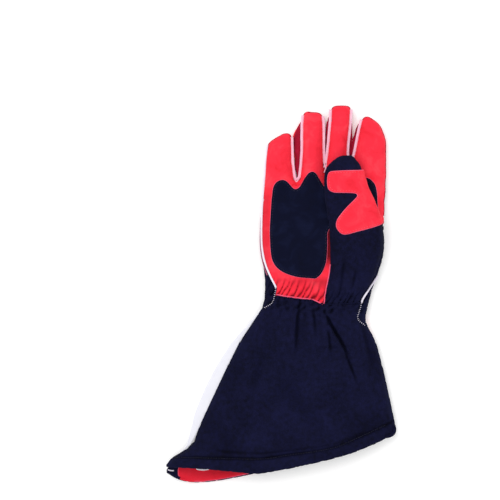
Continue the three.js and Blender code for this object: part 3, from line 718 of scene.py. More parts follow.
def hem_roll(x, y):
    """The turned hem: a padded roll along the edge and a stitched groove above it."""
    groove = y - np.interp(x, HEM_GROOVE_X, HEM_GROOVE_Y)
    upper = groove - np.interp(x, (-72.0, -58.0, 6.7, 63.0, 80.0), (9.0, 6.8, 4.8, 3.8, 3.2))
    second = 0.8 * bell(upper, 1.2) * ramp(x + 74.0, 14.0) * ramp(96.0 - x, 14.0)
    return 0.8 * bell(groove + 7.0, 4.5) - 1.5 * bell(groove, 1.6) - second


def press(mesh, functions, is_palm=False):
    """Moves all that lies above the side seam by the sum of some relief functions, and paints shade into
    the valleys as a point attribute.

    On the palm the painted shade lies on the cuff's slopes, as painted shadow on the strip deep between pad
    and thumb, and on the outer margin, which turns away from the light."""
    co = coordinates(mesh)
    x, y, z = (co / MM).T
    fade = ramp(z - SEAM_HEIGHT, 5.0)
    rise = sum(function(x, y) for function in functions) * fade
    co[:, 2] += rise * MM
    set_coordinates(mesh, co)
    # Painted shade on the palm: the strip beside the thumb stands for the shadow in the groove between pad
    # and thumb, and the outer margin for the side turned from the light.
    beside_thumb = ramp(x - 45.0, 4.0) * ramp(y - 26.0, 14.0) * ramp(78.0 - y, 6.0)
    cuff = ramp(20.0 - y, 6.0)
    outer_margin = ramp(-9.0 - x, 5.0) * ramp(112.0 - y, 12.0)
    # Painted shade: the deeper a valley is pressed, the darker its colour; on the palm only the cuff's
    # pleats get it.
    depth = np.clip(-rise / 1.3, 0.0, 1.0)
    if is_palm:
        depth = ramp(1.1 - rise, 2.3) ** 1.1 * cuff * 0.85 + beside_thumb * 0.95 + outer_margin * 0.22
    crease = mesh.attributes.new("crease", "FLOAT", "POINT")
    crease.data.foreach_set("value", np.clip(depth, 0.0, 1.0).astype(np.float32))


def square_tips(mesh):
    """Draws the inner corners of the ring and the middle fingertip out, which are cut nearly square."""
    co = coordinates(mesh)
    x, y, _ = (co / MM).T
    for at_x, from_y, amount in ((26.4, 183.5, 2.4), (55.4, 191.0, 0.9)):
        co[:, 1] += amount * bell(x - at_x, 2.6) * ramp(y - from_y, 5.0) * MM
    set_coordinates(mesh, co)


def relax_palm(mesh):
    """Presses gathers and folds into the palm panel."""
    square_tips(mesh)
    press(mesh, (ripple, gathers, pressed_folds), is_palm=True)


def relax_gauntlet(mesh):
    """Settles the hem, and presses gathers, folds and the hem's groove into the gauntlet."""
    co = coordinates(mesh)
    x, y, _ = (co / MM).T
    hem = np.interp(x, PALM_HEM_X, PALM_HEM_Y)
    shift = np.interp(x, SETTLED_HEM_X, SETTLED_HEM_Y) - hem
    co[:, 1] += shift * bell(beyond(y - hem), 14.0) * MM
    set_coordinates(mesh, co)
    press(mesh, (ripple, gathers, pressed_folds, hem_roll))


def relax_thumb(mesh):
    """Soft unevenness of the thumb, with the gathers only at the wrist."""
    co = coordinates(mesh)
    x, y, z = (co / MM).T
    tall = ramp(z - 14.0, 6.0) * ramp(y - 88.0, 14.0) * ramp(141.0 - y, 8.0)
    co[:, 0] -= 0.3 * MM * tall * ramp(58.0 - x, 10.0)
    set_coordinates(mesh, co)
    press(mesh, (ripple, gathers, pressed_folds))


def side_spread(x, y, z):
    """How far the lower half of a finger stands out sideways past the seam above it."""
    total = np.zeros_like(x)
    profile = np.interp(z, (0.0, 2.0, 6.0, 7.9), (0.75, 1.0, 1.0, 0.0))
    for name, (side, rows) in FINGER_SPREAD.items():
        line = np.array(FINGER_SEAMS[name])[::-1]
        seam_x = np.interp(y, line[:, 1], line[:, 0])
        inward = (seam_x - x) * side
        near = ramp(9.0 - inward, 9.0) * (inward > -4.0)
        out = np.interp(y, [row[0] for row in rows], [row[1] for row in rows])
        total += side * out * near * profile
    return total


def spread_fingers(mesh):
    """Fills the fingers' sides out below the seam, so that the walls show between the fingers."""
    co = coordinates(mesh)
    x, y, z = (co / MM).T
    co[:, 0] += side_spread(x, y, z) * MM
    set_coordinates(mesh, co)


def relax_back(mesh):
    """Lifts the backs of the fingers a little off the table, and rolls the hem."""
    square_tips(mesh)
    spread_fingers(mesh)
    co = coordinates(mesh)
    x, y, z = (co / MM).T
    low = np.clip(1.5 - z, 0.0, 2.5)
    co[:, 2] += low * 0.7 * MM
    above = y - np.interp(x, BACK_HEM_X, BACK_HEM_Y)
    roll = 0.7 * bell(above - 4.5, 4.0) * ramp(z - 2.6, 1.0) * ramp(7.5 - z, 2.0)
    co[:, 2] += roll * MM
    set_coordinates(mesh, co)
    press(mesh, (ripple, gathers))


def redden_tips(mesh):
    """Gives the back panel's fingers the second material outside the white seams on their backs."""
    centres = np.empty(len(mesh.polygons) * 3, np.float32)
    mesh.polygons.foreach_get("center", centres)
    centres = centres.reshape(-1, 3)[:, :2].astype(float) / MM
    fingers = np.flatnonzero(centres[:, 1] > 121.0)
    inside = np.zeros(len(fingers), bool)
    for line in BACK_ARCHES.values():
        arch = smooth_loop(line, step=2.0, rounding=1.0, closed=False)
        depth, _ = nearest_on_loop(centres[fingers], arch)
        inside |= depth > 0.0
    index = np.zeros(len(centres), np.int32)
    index[fingers[~inside]] = 1
    mesh.polygons.foreach_set("material_index", index)


# Outlines and sewn panels

def smooth_loop(points, step=1.0, rounding=1.2, closed=True):
    """A smooth line through the points, in millimetres, with a point about every step."""
    pts = np.array(points, float)
    count = len(pts)
    line = []
    for i in range(count if closed else count - 1):
        if closed:
            a, b, c, d = (pts[(i + k) % count] for k in (-1, 0, 1, 2))
        else:
            a, b, c, d = pts[max(i - 1, 0)], pts[i], pts[i + 1], pts[min(i + 2, count - 1)]
        steps = max(2, int(np.linalg.norm(c - b) / step))
        for t in np.arange(steps) / steps:
            square = (2 * a - 5 * b + 4 * c - d) * t * t
            line.append(0.5 * (2 * b + (c - a) * t + square + (3 * b - a - 3 * c + d) * t ** 3))
    if not closed:
        line.append(pts[-1])
    line = np.array(line)
    for _ in range(int(rounding * 4)):
        if closed:
            line = 0.5 * line + 0.25 * (np.roll(line, 1, 0) + np.roll(line, -1, 0))
        else:
            line[1:-1] = 0.5 * line[1:-1] + 0.25 * (line[:-2] + line[2:])
    return line


def nearest_on_loop(points, loop):
    """For each point: signed distance (positive inside) and the nearest place on a closed loop."""
    a, b = loop, np.roll(loop, -1, 0)
    edge = b - a
    best = np.full(len(points), 1e9)
    place = np.zeros_like(points)
    for start, run in zip(a, edge):
        t = np.clip(((points - start) @ run) / max(run @ run, 1e-12), 0.0, 1.0)
        near = start + t[:, None] * run
        distance = np.linalg.norm(points - near, axis=1)
        closer = distance < best
        best[closer] = distance[closer]
        place[closer] = near[closer]
    inside = np.zeros(len(points), bool)
    for (x1, y1), (x2, y2) in zip(a, b):
        if y1 == y2:
            continue
        crosses = ((y1 > points[:, 1]) != (y2 > points[:, 1]))
        at_x = x1 + (points[:, 1] - y1) * (x2 - x1) / (y2 - y1)
        inside ^= crosses & (points[:, 0] < at_x)
    return np.where(inside, best, -best), place


def smooth_points(bm, points, axes):
    """One round of smoothing along the axes that are True."""
    bmesh.ops.smooth_vert(bm, verts=points, factor=0.5, use_axis_x=axes[0], use_axis_y=axes[1],
                          use_axis_z=axes[2])


def flat_panel(outline, pitch, edge_width):
    """A flat mesh cut to a smooth outline, with two narrow rings of faces along its edge.

    The outer ring takes the second material."""
    loop = smooth_loop(outline)
    low, high = loop.min(0), loop.max(0)
    span = high - low
    steps = np.maximum(2, np.ceil(span / pitch)).astype(int)
    bm = bmesh.new()
    bmesh.ops.create_grid(bm, x_segments=int(steps[0]), y_segments=int(steps[1]), size=0.5)
    bmesh.ops.scale(bm, vec=(span[0], span[1], 1.0), verts=bm.verts)
    bmesh.ops.translate(bm, vec=(*(low + span / 2), 0.0), verts=bm.verts)
    centres = np.array([face.calc_center_median()[:2] for face in bm.faces])
    depth, _ = nearest_on_loop(centres, loop)
    outside = [face for face, d in zip(bm.faces, depth) if d < 0.0]
    bmesh.ops.delete(bm, geom=outside, context="FACES")
    rim = [v for v in bm.verts if v.is_boundary]
    _, place = nearest_on_loop(np.array([v.co[:2] for v in rim]), loop)
    for vertex, (x, y) in zip(rim, place):
        vertex.co.x, vertex.co.y = x, y
    near = {other for v in rim for edge in v.link_edges for other in edge.verts} - set(rim)
    for _ in range(3):
        smooth_points(bm, list(near), (True, True, True))
    for width in (edge_width, edge_width * 0.6):
        inner = [f for f in bm.faces if f.tag is False]
        bmesh.ops.inset_region(bm, faces=inner, thickness=width, use_even_offset=True, use_boundary=True)
        for face in bm.faces:
            face.tag = any(v.is_boundary for v in face.verts) or face.tag
    for face in bm.faces:
        face.material_index = 1 if any(v.is_boundary for v in face.verts) else 0
    return bm


def aimed(x, y, direction, start_height):
    """Start and direction, in metres, of the ray that finds the place under a point of a flat panel.

    Rays with a sideways part turn round the thumb's flank, so that a panel keeps its width there."""
    ray = Vector(direction)
    if ray.x:
        turn_x = float(np.interp(y, FLANK_Y, FLANK_X)) - FLANK_TURN
        if x > turn_x:
            angle = (x - turn_x) / (FLANK_TURN * 1.5) * math.pi / 2
            outward = Vector((math.sin(angle), 0.0, math.cos(angle)))
            axis = Vector((turn_x, y, FLANK_AXIS_Z))
            return (axis + outward * 30.0) * MM, -outward
        ray = Vector((0.0, 0.0, -1.0))
    return Vector((x, y, start_height)) * MM, ray


def draped(bm, surface, direction, thickness, rim_height, start_height):
    """Lays a flat panel on a surface and gives it its thickness; the edge slopes down to the surface."""
    rim = {v for v in bm.verts if v.is_boundary}
    second = {other for v in rim for edge in v.link_edges for other in edge.verts} - rim
    lay = {}
    for vertex in bm.verts:
        origin, ray = aimed(vertex.co.x, vertex.co.y, direction, start_height)
        hit, normal, _, _ = surface.ray_cast(origin, ray)
        if hit is None:
            hit, normal, _, _ = surface.find_nearest(origin + ray * 0.012)
        if normal.dot(ray) > 0:
            normal = -normal
        height = rim_height if vertex in rim else 0.86 if vertex in second else 1.0
        if ray.x:
            starts = [origin + Vector((0.0, step * MM, 0.0)) for step in FLANK_STEPS]
            reaches = [surface.ray_cast(start, ray)[3] for start in starts]
            hit = origin + ray * min(reach for reach in reaches if reach)
            normal = normal.lerp(-ray, min(1.0, abs(ray.x) * 3.0)).normalized()
            height += 0.6 * min(1.0, abs(ray.x) * 1.5)
        lay[vertex] = (hit, normal, height)
    top_faces = list(bm.faces)
    for vertex, (hit, normal, height) in lay.items():
        vertex.co = hit + normal * (thickness * height + 0.06 * MM)
    smoothed = [v for v in bm.verts if v not in rim]
    sideways = bool(direction[0])
    for _ in range(4 if sideways else 1):
        smooth_points(bm, smoothed, (sideways, False, True))
    copied = bmesh.ops.duplicate(bm, geom=top_faces)
    for old, new in copied["vert_map"].items():
        if isinstance(old, bmesh.types.BMVert) and old in lay:
            hit, normal, _ = lay[old]
            new.co = hit + normal * 0.05 * MM
    under = [f for f in copied["geom"] if isinstance(f, bmesh.types.BMFace)]
    bmesh.ops.reverse_faces(bm, faces=under)
    open_edges = [e for e in bm.edges if e.is_boundary]
    for face in bmesh.ops.bridge_loops(bm, edges=open_edges)["faces"]:
        face.material_index = 1
    return bm


def sewn_panel(name, outline, shells, direction, start_height, suede, nodes,
               thickness=None, edge_share=1.0):
    """A suede panel sewn onto the shell, with its cut edge in a second material."""
    scale = sizes()
    bm = flat_panel(outline, scale.patch_pitch / MM, scale.edge_width * edge_share / MM)
    draped(bm, surface_of(shells), direction, thickness or scale.patch_thickness, 0.45, start_height)
    bmesh.ops.recalc_face_normals(bm, faces=bm.faces)
    mesh = bpy.data.meshes.new(name)
    bm.to_mesh(mesh)
    bm.free()
    return finished(name, mesh, [suede, "Pale cut edge"], nodes)


def surface_of(pieces):
    """One search tree over the meshes of several pieces."""
    bm = bmesh.new()
    for piece in pieces:
        bm.from_mesh(piece.data)
    tree = BVHTree.FromBMesh(bm)
    bm.free()
    return tree


# Seams and stitches

def swept_strip(name, points, width, height, material):
    """A closed strip of oval section along a line of points, in metres."""
    profile = bpy.data.curves.new("oval", "CURVE")
    oval = profile.splines.new("POLY")
    oval.points.add(9)
    for i, point in enumerate(oval.points):
        angle = 2 * math.pi * i / len(oval.points)
        point.co = (width / 2 * math.cos(angle), height / 2 * math.sin(angle), 0.0, 1.0)
    oval.use_cyclic_u = True
    profile_object = bpy.data.objects.new("oval", profile)
    curve = bpy.data.curves.new("strip", "CURVE")
    curve.dimensions = "3D"
    curve.twist_mode = "Z_UP"
    curve.bevel_mode = "OBJECT"
    curve.bevel_object = profile_object
    curve.use_fill_caps = True
    spline = curve.splines.new("POLY")
    spline.points.add(len(points) - 1)
    for point, place in zip(spline.points, points):
        point.co = (*place, 1.0)
    holder = bpy.data.objects.new("strip", curve)
    bpy.context.scene.collection.objects.link(profile_object)
    bpy.context.scene.collection.objects.link(holder)
    mesh = evaluated_mesh(holder)
    bpy.data.objects.remove(holder)
    bpy.data.objects.remove(profile_object)
    bm = bmesh.new()
    bm.from_mesh(mesh)
    bmesh.ops.remove_doubles(bm, verts=bm.verts, dist=0.001 * MM)
    bmesh.ops.recalc_face_normals(bm, faces=bm.faces)
    bm.to_mesh(mesh)
    bm.free()
    return finished(name, mesh, [material], ())


def stitch_row(name, places, material):
    """Many small stitches as one mesh. Each place is (centre, half axes as three vectors)."""
    bm = bmesh.new()
    for centre, axes in places:
        shape = Matrix(axes).transposed()
        if shape.determinant() < 0.0:
            shape.col[2] = -shape.col[2]
        matrix = Matrix.Translation(centre) @ shape.to_4x4()
        bmesh.ops.create_uvsphere(bm, u_segments=7, v_segments=4, radius=1.0, matrix=matrix)
    mesh = bpy.data.meshes.new(name)
    bm.to_mesh(mesh)
    bm.free()
    return finished(name, mesh, [material], ())


def spaced(line, pitch):
    """Points and directions along a line at an even pitch."""
    runs = np.linalg.norm(np.diff(line, axis=0), axis=1)
    reach = np.concatenate(([0.0], np.cumsum(runs)))
    marks = np.arange(pitch / 2, reach[-1], pitch)

    def at(distances):
        return np.stack([np.interp(distances, reach, column) for column in line.T], axis=1)

    way = at(np.minimum(marks + 0.3, reach[-1])) - at(np.maximum(marks - 0.3, 0.0))
    return at(marks), way / np.maximum(np.linalg.norm(way, axis=1), 1e-9)[:, None]


def laid_line(line, surface, direction, start_height, lift):
    """A flat line dropped onto a surface: 3-D points in millimetres and the surface's normals."""
    points, normals = [], []
    for x, y in line:
        best = None
        for aside_x, aside_y in ((0.0, 0.0), (0.9, 0.0), (-0.9, 0.0), (0.0, 0.9), (0.0, -0.9)):
            origin, ray = aimed(x + aside_x, y + aside_y, direction, start_height)
            hit, normal, _, distance = surface.ray_cast(origin, ray)
            if hit is not None and (best is None or distance < best[2] - 0.8 * MM):
                best = (origin + ray * distance - Vector((aside_x, aside_y, 0.0)) * MM, normal, distance)
        if best is None:
            best = (Vector((x * MM, y * MM, (SEAM_HEIGHT + 0.8) * MM)), Vector((0.0, 0.0, 1.0)), 0.0)
        hit, normal, _ = best
        if normal.dot(ray) > 0:
            normal = -normal
        points.append(np.array(hit) / MM + np.array(normal) * lift)
        normals.append(np.array(normal))
    return np.array(points), np.array(normals)


def overlock(name, line, width, height, thread, surface=None, direction=DOWN, start_height=30.0,
             edge_points=None, core=None, pitch=None):
    """A seam that stands out, wrapped in slanted thread. The line is in millimetres.

    It hugs the edge of the cloth whose points are given, or else lies on the surface."""
    flat = smooth_loop(line, step=1.0, rounding=1.0, closed=False)
    if surface is None:
        flat = hugged(flat, edge_points, width * 0.36)
        points = np.column_stack([flat, np.full(len(flat), SEAM_HEIGHT + 0.9)])
    else:
        points, _ = laid_line(flat, surface, direction, start_height, 0.0)
        points = evened(points, 12)
        points[:, :2] = flat
        points[:, 2] -= 0.3 * direction[2]
    swept_strip(name + "_seam", points * MM, width * MM, height * MM, core or thread)
    place, way = spaced(points, pitch or sizes().stitch_pitch / MM)
    up = np.array([0.0, 0.0, 1.0])
    stitches = []
    for number, (centre, t) in enumerate(zip(place, way)):
        side = np.cross(t, up)
        side /= np.linalg.norm(side)
        lean = side + t * 0.45
        lean /= np.linalg.norm(lean)
        wobble = 1.0 + 0.12 * math.sin(number * 2.3)
        axes = (t * 0.42 * MM, lean * (width / 2 + 0.18) * wobble * MM, up * (height / 2 + 0.22) * MM)
        stitches.append((centre * MM, axes))
    stitch_row(name + "_overlock", stitches, thread)


def hugged(line, co, offset):
    """A flat line moved to lie just outside the edge of some cloth, whose points are in millimetres."""
    band = co[(co[:, 2] > SEAM_HEIGHT) & (co[:, 2] < SEAM_HEIGHT + 6.0)][:, :2]
    way = np.gradient(line, axis=0)
    way /= np.linalg.norm(way, axis=1)[:, None]
    out = np.column_stack([way[:, 1], -way[:, 0]])
    reach = np.zeros(len(line))
    found = np.zeros(len(line), bool)
    sides = 0.0
    for place, normal, along in zip(line, out, way):
        apart = band - place
        close = apart[(np.abs(apart @ along) < 1.5) & (np.abs(apart @ normal) < 5.0)]
        sides += float(np.sum(np.sign(close @ normal)))
    if sides > 0:
        out = -out
    for number, (place, normal, along) in enumerate(zip(line, out, way)):
        apart = band - place
        close = apart[(np.abs(apart @ along) < 1.5) & (apart @ normal > -5.0) & (apart @ normal < 1.6)]
        if len(close):
            reach[number] = (close @ normal).max()
            found[number] = True
    marks = np.arange(len(line))
    reach = np.interp(marks, marks[found], reach[found]) if found.any() else reach
    for _ in range(6):
        reach[1:-1] = 0.5 * reach[1:-1] + 0.25 * (reach[:-2] + reach[2:])
    return line + out * (reach + offset)[:, None]


def evened(points, rounds):
    """The heights of a line of points, smoothed along it."""
    for _ in range(rounds):
        points[1:-1, 2] = 0.5 * points[1:-1, 2] + 0.25 * (points[:-2, 2] + points[2:, 2])
    return points


def edge_strip(name, line, width, height, material, surface=None, rounds=2, edge_points=None):
    """A thin strip along a line: a panel's cut edge or the cord of a gathered seam."""
    flat = smooth_loop(line, step=1.0, rounding=0.6, closed=False)
    if surface is None:
        flat = hugged(flat, edge_points, width * 0.15)
        points = np.column_stack([flat, np.full(len(flat), SEAM_HEIGHT + 0.2)])
    else:
        points, _ = laid_line(flat, surface, DOWN, 39.0, 0.1)
        points = evened(points, rounds)
    return swept_strip(name, points * MM, width * MM, height * MM, material)


def level_line(line, height):
    """The smooth line through some points, all at one height, in millimetres."""
    flat = smooth_loop(line, closed=False)
    return np.column_stack([flat, np.full(len(flat), height)])


def hem_tube(name, reach, hem_x, hem_y, surface, direction, start_height, material):
    """The rolled edge of a hem, which follows the height of the cloth beside it."""
    line = np.column_stack([reach, np.interp(reach, hem_x, hem_y) + 1.4])
    flat = smooth_loop(line, step=1.2, rounding=2.0, closed=False)
    beside = [(x, y + 1.6) for x, y in flat]
    points, _ = laid_line(beside, surface, direction, start_height, 0.0)
    points[:, :2] = flat
    points = evened(points, 8)
    inward = -1.1 if direction[2] < 0 else 1.3
    points[:, 2] += inward
    return swept_strip(name, points * MM, 3.0 * MM, 2.6 * MM, material)


def running_stitch(name, line, surface, direction, start_height, pitch, length, thread):
    """A row of separate stitches along a line on a surface."""
    points, normals = laid_line(line, surface, direction, start_height, 0.12)
    joined = np.column_stack([points, normals])
    place, way = spaced(joined, pitch)
    stitches = []
    for row, t in zip(place, way):
        centre, n = row[:3], row[3:] / np.linalg.norm(row[3:])
        beside_flank = centre[0] > np.interp(centre[1], FLANK_Y, FLANK_X) - 5.0
        if abs(n[2]) < 0.35 or (direction[0] and beside_flank):
            continue
        t = t[:3] / np.linalg.norm(t[:3])
        side = np.cross(t, n)
        stitches.append((centre * MM, (t * length / 2 * MM, side * 0.3 * MM, n * 0.25 * MM)))
    return stitch_row(name, stitches, thread)


def inset_loop(outline, distance):
    """The smooth outline moved inwards by a distance."""
    loop = smooth_loop(outline)
    ahead = np.roll(loop, -1, 0) - np.roll(loop, 1, 0)
    ahead /= np.linalg.norm(ahead, axis=1)[:, None]
    area = np.sum(loop[:, 0] * np.roll(loop[:, 1], -1) - np.roll(loop[:, 0], -1) * loop[:, 1])
    normal = np.column_stack([-ahead[:, 1], ahead[:, 0]]) * (1 if area > 0 else -1)
    moved = loop + normal * distance
    return np.vstack([moved, moved[:1]])


class GLOVE_OT_shell(bpy.types.Operator):
    """Builds the knit and suede shell: back, palm, gauntlet, thumb and the walls between the fingers"""

    bl_idname = "glove.shell"
    bl_label = "Shell"

    def execute(self, context):
        scale = sizes()
        for node, relax, cloth_names, slot_name in (
            ("gauntlet_palm", relax_gauntlet, ["Navy knit"], "navy_knit"),
            ("palm_panel", relax_palm, ["Red suede"], "red_suede"),
            ("thumb_front", relax_thumb, ["Navy knit"], "navy_knit"),
            ("thumb_underside", None, ["Navy knit"], "navy_knit"),
            ("back_panel", relax_back, ["Navy knit", "Red suede"], "navy_knit"),
        ):
            rounds, share = (20, 1.2) if node == "thumb_front" else (9, 1.0)
            mesh = soft_copy(node, scale.shell_grain, scale.gather_grain, rounds, scale.shell_fill * share)
            if relax:
                relax(mesh)
            if node == "back_panel":
                redden_tips(mesh)
            finished("soft_" + node, mesh, cloth_names, (node,))
        # The walls between the fingers take the darker copy of the red suede, as painted shade.
        for node in ("side_wall_little_ring", "side_wall_ring_middle", "side_wall_middle_index"):
            mesh = soft_copy(node, 1.6 * MM, 1.6 * MM, 5, 0.2 * MM)
            spread_fingers(mesh)
            mesh = softened(mesh, 4)
            finished("soft_" + node, mesh, ["Deep red suede"], (node,))
        return {"FINISHED"}


class GLOVE_OT_panels(bpy.types.Operator):
    """Sews the palm pad, the thumb patch, the knuckle panel, the back stripe and the hem's facing on"""

    bl_idname = "glove.panels"
    bl_label = "Sewn panels"

    def execute(self, context):
        part = bpy.data.objects
        palm = [part["soft_palm_panel"]]
        thumb = [part["soft_thumb_front"], part["soft_thumb_underside"]]
        back = [part["soft_back_panel"]]
        sewn_panel("soft_palm_pad", PAD_OUTLINE, palm, DOWN, 30.0, "Dark suede", ("palm_pad",),
                   edge_share=0.75)
        sewn_panel("soft_thumb_patch", THUMB_PATCH_OUTLINE, thumb, AROUND, 45.0, "Red suede",
                   ("thumb_patch",))
        sewn_panel("soft_knuckle_panel", KNUCKLE_OUTLINE, back, UP, -2.0, "Red suede", ("knuckle_panel",))
        sewn_panel("soft_back_stripe", STRIPE_OUTLINE, back, UP, -2.0, "Red suede", ("back_stripe",))
        # The facing inside the mouth takes the darker copy of the red suede, as painted shade.
        sewn_panel("hem_facing", FACING_OUTLINE, back, DOWN, 7.6, "Facing suede", (), thickness=0.7 * MM)
        return {"FINISHED"}


class GLOVE_OT_trim(bpy.types.Operator):
    """Adds the white tape, the bare label and the plain tag inside the mouth"""

    bl_idname = "glove.trim"
    bl_label = "Tape, label and tag"

    def execute(self, context):
        for node, grain, rounds, slot_name in (
            ("side_binding", 1.5 * MM, 3, "white_tape"),
            ("blank_label", 1.2 * MM, 2, "label_weave"),
        ):
            mesh = soft_copy(node, grain, grain, rounds)
            finished("soft_" + node, mesh, ["White tape"], (node,))
        tag = soft_copy("inside_tag", 1.0 * MM, 1.0 * MM, 2)
        co = coordinates(tag) + np.array((0.0, 0.2, 1.3)) * MM
        aside = (co[:, 0] - TAG_X * MM) * 0.72
        co[:, 0] = aside + TAG_X * MM
        co[:, 1] += 22.0 * aside**2
        set_coordinates(tag, co)
        finished("soft_inside_tag", tag, ["White tape"], ("inside_tag",))
        return {"FINISHED"}


class GLOVE_OT_seams(bpy.types.Operator):
    """Adds the overlocked seams between the fingers and along the sides, and the rows of stitches"""

    bl_idname = "glove.seams"
    bl_label = "Seams and stitches"

    def execute(self, context):
        part = bpy.data.objects
        front = coordinates(part["soft_palm_panel"].data) / MM
        palm = surface_of([part["soft_palm_panel"]])
        gauntlet = surface_of([part["soft_gauntlet_palm"]])
        backs = surface_of([part["soft_back_panel"]])
        walls = ("palm_panel", "back_panel", "gauntlet_palm", "thumb_front")
        shell = surface_of([part["soft_" + wall] for wall in walls])
        for name, line in FINGER_SEAMS.items():
            overlock(name, line, sizes().seam_width / MM, 1.3, "Blush thread", edge_points=front)
        for name, line in BACK_ARCHES.items():
            overlock(name, line, 2.2, 1.0, "White thread", surface=backs, direction=UP, start_height=-3.0)
        for name, line in SIDE_SEAMS.items():
            overlock(name, line, 2.0, 1.1, "White thread", surface=shell)
        for name, line in WRIST_SEAMS.items():
            overlock(name, line, 1.3, 0.9, "White thread", surface=shell, core="Navy knit", pitch=2.1)
        for name, line in CROTCH_TACKS.items():
            overlock(name, line, 1.5, 1.0, "Blush thread", surface=palm)
        for name, line in CROTCH_FILLS.items():
            middle = line[len(line) // 2]
            start = Vector((middle[0], middle[1] - 5.0, 45.0)) * MM
            top = palm.ray_cast(start, Vector(DOWN))[0].z / MM - 1.9
            points = level_line(line, (SEAM_HEIGHT + top) / 2)
            swept_strip(name, points * MM, 4.6 * MM, (top - SEAM_HEIGHT + 1.0) * MM, "Red suede")
        # The folds at the crotches take the darker copy of the red suede, as painted shade.
        for name, line in CROTCH_CORDS.items():
            points = level_line(line, CORD_HEIGHT)
            swept_strip(name, points * MM, 5.2 * MM, 3.0 * MM, "Deep red suede")
        edge_strip("side_cord", SIDE_CORD, 1.3, 1.0, "Mauve cord", surface=shell, rounds=12)
        # The rims take the darker copy of the red suede: a painted shadow line along the outline.
        for name, line in FINGER_RIMS.items():
            edge_strip(name + "_rim", line, 1.0, 1.0, "Deep red suede", edge_points=front)
        edge_strip("cuff_edge", CUFF_EDGE, 1.3, 0.8, "Pale cut edge", surface=shell)
        elastic = [(x, y - 0.15) for x, y in zip(ELASTIC_X, ELASTIC_Y) if -6.0 < x < 86.0]
        edge_strip("elastic_seam", elastic, 1.3, 0.8, "Navy knit", surface=shell)

        reach = np.arange(-119.5, 119.6, 3.0)
        hem_tube("front_hem", reach, SETTLED_HEM_X, SETTLED_HEM_Y, gauntlet, DOWN, 45.0, "Navy knit")
        # The hem's roll along the facing takes the same painted shade.
        for name, start, stop, suede in (
            ("back_hem_tip", -119.5, -106.0, "Navy knit"),
            ("back_hem_facing", -106.0, -20.0, "Facing suede"),
            ("back_hem", -20.0, 119.0, "Navy knit"),
        ):
            reach = np.linspace(start, stop, max(5, int((stop - start) / 3.0)))
            hem_tube(name, reach, BACK_HEM_X, BACK_HEM_Y, backs, UP, -5.0, suede)
        points, _ = laid_line(smooth_loop(HEM_CORNER, closed=False), gauntlet, DOWN, 45.0, 0.0)
        swept_strip("hem_corner", evened(points, 30) * MM, 3.8 * MM, 3.4 * MM, "Navy knit")

        for name, loop, panel, direction, start_height, thread, slot_name in (
            ("pad_stitches", inset_loop(PAD_OUTLINE, 2.4), "soft_palm_pad", DOWN, 30.0,
             "Navy thread", "dark_suede"),
            ("thumb_patch_stitches", inset_loop(THUMB_PATCH_OUTLINE, 2.2), "soft_thumb_patch", AROUND, 45.0,
             "Red thread", "red_suede"),
            ("knuckle_panel_stitches", inset_loop(KNUCKLE_OUTLINE, 2.2), "soft_knuckle_panel", UP, -3.0,
             "Red thread", "red_suede"),
            ("back_stripe_stitches", inset_loop(STRIPE_OUTLINE, 2.2), "soft_back_stripe", UP, -3.0,
             "Red thread", "red_suede"),
        ):
            surface = surface_of([part[panel]])
            running_stitch(name, loop, surface, direction, start_height, 3.0, 2.1, thread)
        groove = [(x, y) for x, y in zip(HEM_GROOVE_X, HEM_GROOVE_Y) if -116.0 < x < 118.0]
        groove = smooth_loop(groove, closed=False)
        running_stitch("hem_stitches", groove, gauntlet, DOWN, 45.0, 2.8, 1.9, "Navy thread")
        beside_tip = ("soft_back_panel", "back_hem_tip", "front_hem", "soft_gauntlet_palm")
        tip = surface_of([part[name] for name in beside_tip])
        overlock("tip_tack", TIP_TACK, 1.3, 0.9, "White thread", surface=tip, pitch=1.9)
        return {"FINISHED"}


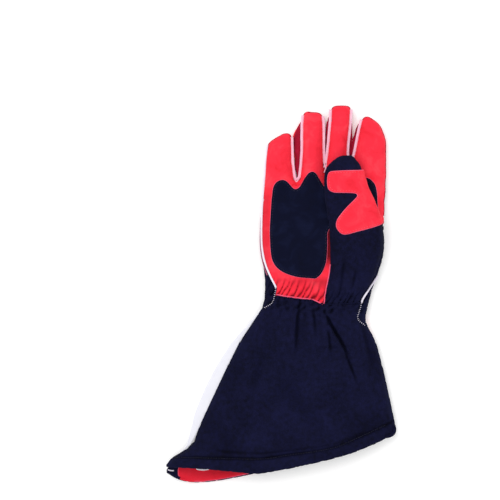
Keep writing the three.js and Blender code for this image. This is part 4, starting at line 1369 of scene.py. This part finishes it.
class GLOVE_OT_stage(bpy.types.Operator):
    """Sets the pale table, the soft light and the camera straight above the glove"""

    bl_idname = "glove.stage"
    bl_label = "Table, light and camera"

    view_width: FloatProperty(
        name="View width", description="Width of table in the view", default=525.0 * MM, unit="LENGTH")
    lens: FloatProperty(name="Lens", description="Focal length in millimetres", default=135.0)
    lamp_power: FloatProperty(name="Lamp power", description="Power of the key lamp in watts", default=11.0)
    glow: FloatProperty(name="Table glow", description="How far the table lights itself", default=0.13)
    room: FloatProperty(name="Room light", description="Strength of the light from all round", default=0.90)

    def execute(self, context):
        scene = context.scene
        camera_data = bpy.data.cameras.new("camera")
        camera_data.lens = self.lens
        camera = bpy.data.objects.new("camera", camera_data)
        scene.collection.objects.link(camera)
        height = self.view_width * self.lens / camera_data.sensor_width
        camera.location = (-32.3 * MM, 47.1 * MM, height + 14.0 * MM)
        camera_data.clip_end = 20.0
        scene.camera = camera
        bm = bmesh.new()
        bmesh.ops.create_grid(bm, x_segments=2, y_segments=2, size=3.0)
        mesh = bpy.data.meshes.new("table")
        bm.to_mesh(mesh)
        bm.free()
        table = bpy.data.objects.new("table", mesh)
        scene.collection.objects.link(table)
        paper = bpy.data.materials.new("Pale table")
        paper.use_nodes = True
        shader = paper.node_tree.nodes["Principled BSDF"]
        for key, value in (
            ("Base Color", (0.98, 0.98, 0.98, 1.0)),
            ("Roughness", 0.9),
            ("Emission Color", (1.0, 1.0, 1.0, 1.0)),
            ("Emission Strength", self.glow),
        ):
            shader.inputs[key].default_value = value
        mesh.materials.append(paper)
        world = bpy.data.worlds.new("soft white room")
        world.use_nodes = True
        world.node_tree.nodes["Background"].inputs["Color"].default_value = (1.0, 1.0, 1.0, 1.0)
        world.node_tree.nodes["Background"].inputs["Strength"].default_value = self.room
        scene.world = world
        for name, place, size, power in (
            ("key lamp", (-0.6, 0.6, 1.5), 1.2, self.lamp_power),
            ("fill lamp", (1.1, -0.6, 1.6), 1.4, self.lamp_power * 0.3),
        ):
            lamp_data = bpy.data.lights.new(name, "AREA")
            lamp_data.size = size
            lamp_data.energy = power
            lamp = bpy.data.objects.new(name, lamp_data)
            scene.collection.objects.link(lamp)
            lamp.location = place
            lamp.rotation_euler = (-Vector(place)).to_track_quat("-Z", "Y").to_euler()
        scene.view_settings.view_transform = "Standard"
        return {"FINISHED"}


class GLOVE_PT_panel(bpy.types.Panel):
    """Lists the steps that build the glove."""

    bl_label = "Racing glove"
    bl_idname = "GLOVE_PT_panel"
    bl_space_type = "VIEW_3D"
    bl_region_type = "UI"
    bl_category = "Glove"

    def draw(self, context):
        for operator in OPERATORS:
            self.layout.operator(operator.bl_idname)
        for group in (context.scene.glove_sizes, context.scene.glove_colours):
            for key in group.__annotations__:
                self.layout.prop(group, key)


OPERATORS = (GLOVE_OT_stage, GLOVE_OT_shell, GLOVE_OT_panels, GLOVE_OT_trim, GLOVE_OT_seams)
CLASSES = (GloveSizes, GloveColours, *OPERATORS, GLOVE_PT_panel)


def register():
    for item in CLASSES:
        bpy.utils.register_class(item)
    bpy.types.Scene.glove_sizes = PointerProperty(type=GloveSizes)
    bpy.types.Scene.glove_colours = PointerProperty(type=GloveColours)


def unregister():
    del bpy.types.Scene.glove_colours
    del bpy.types.Scene.glove_sizes
    for item in reversed(CLASSES):
        bpy.utils.unregister_class(item)


def main():
    register()
    for step in ("stage", "shell", "panels", "trim", "seams"):
        getattr(bpy.ops.glove, step)()


if __name__ == "__main__":
    main()
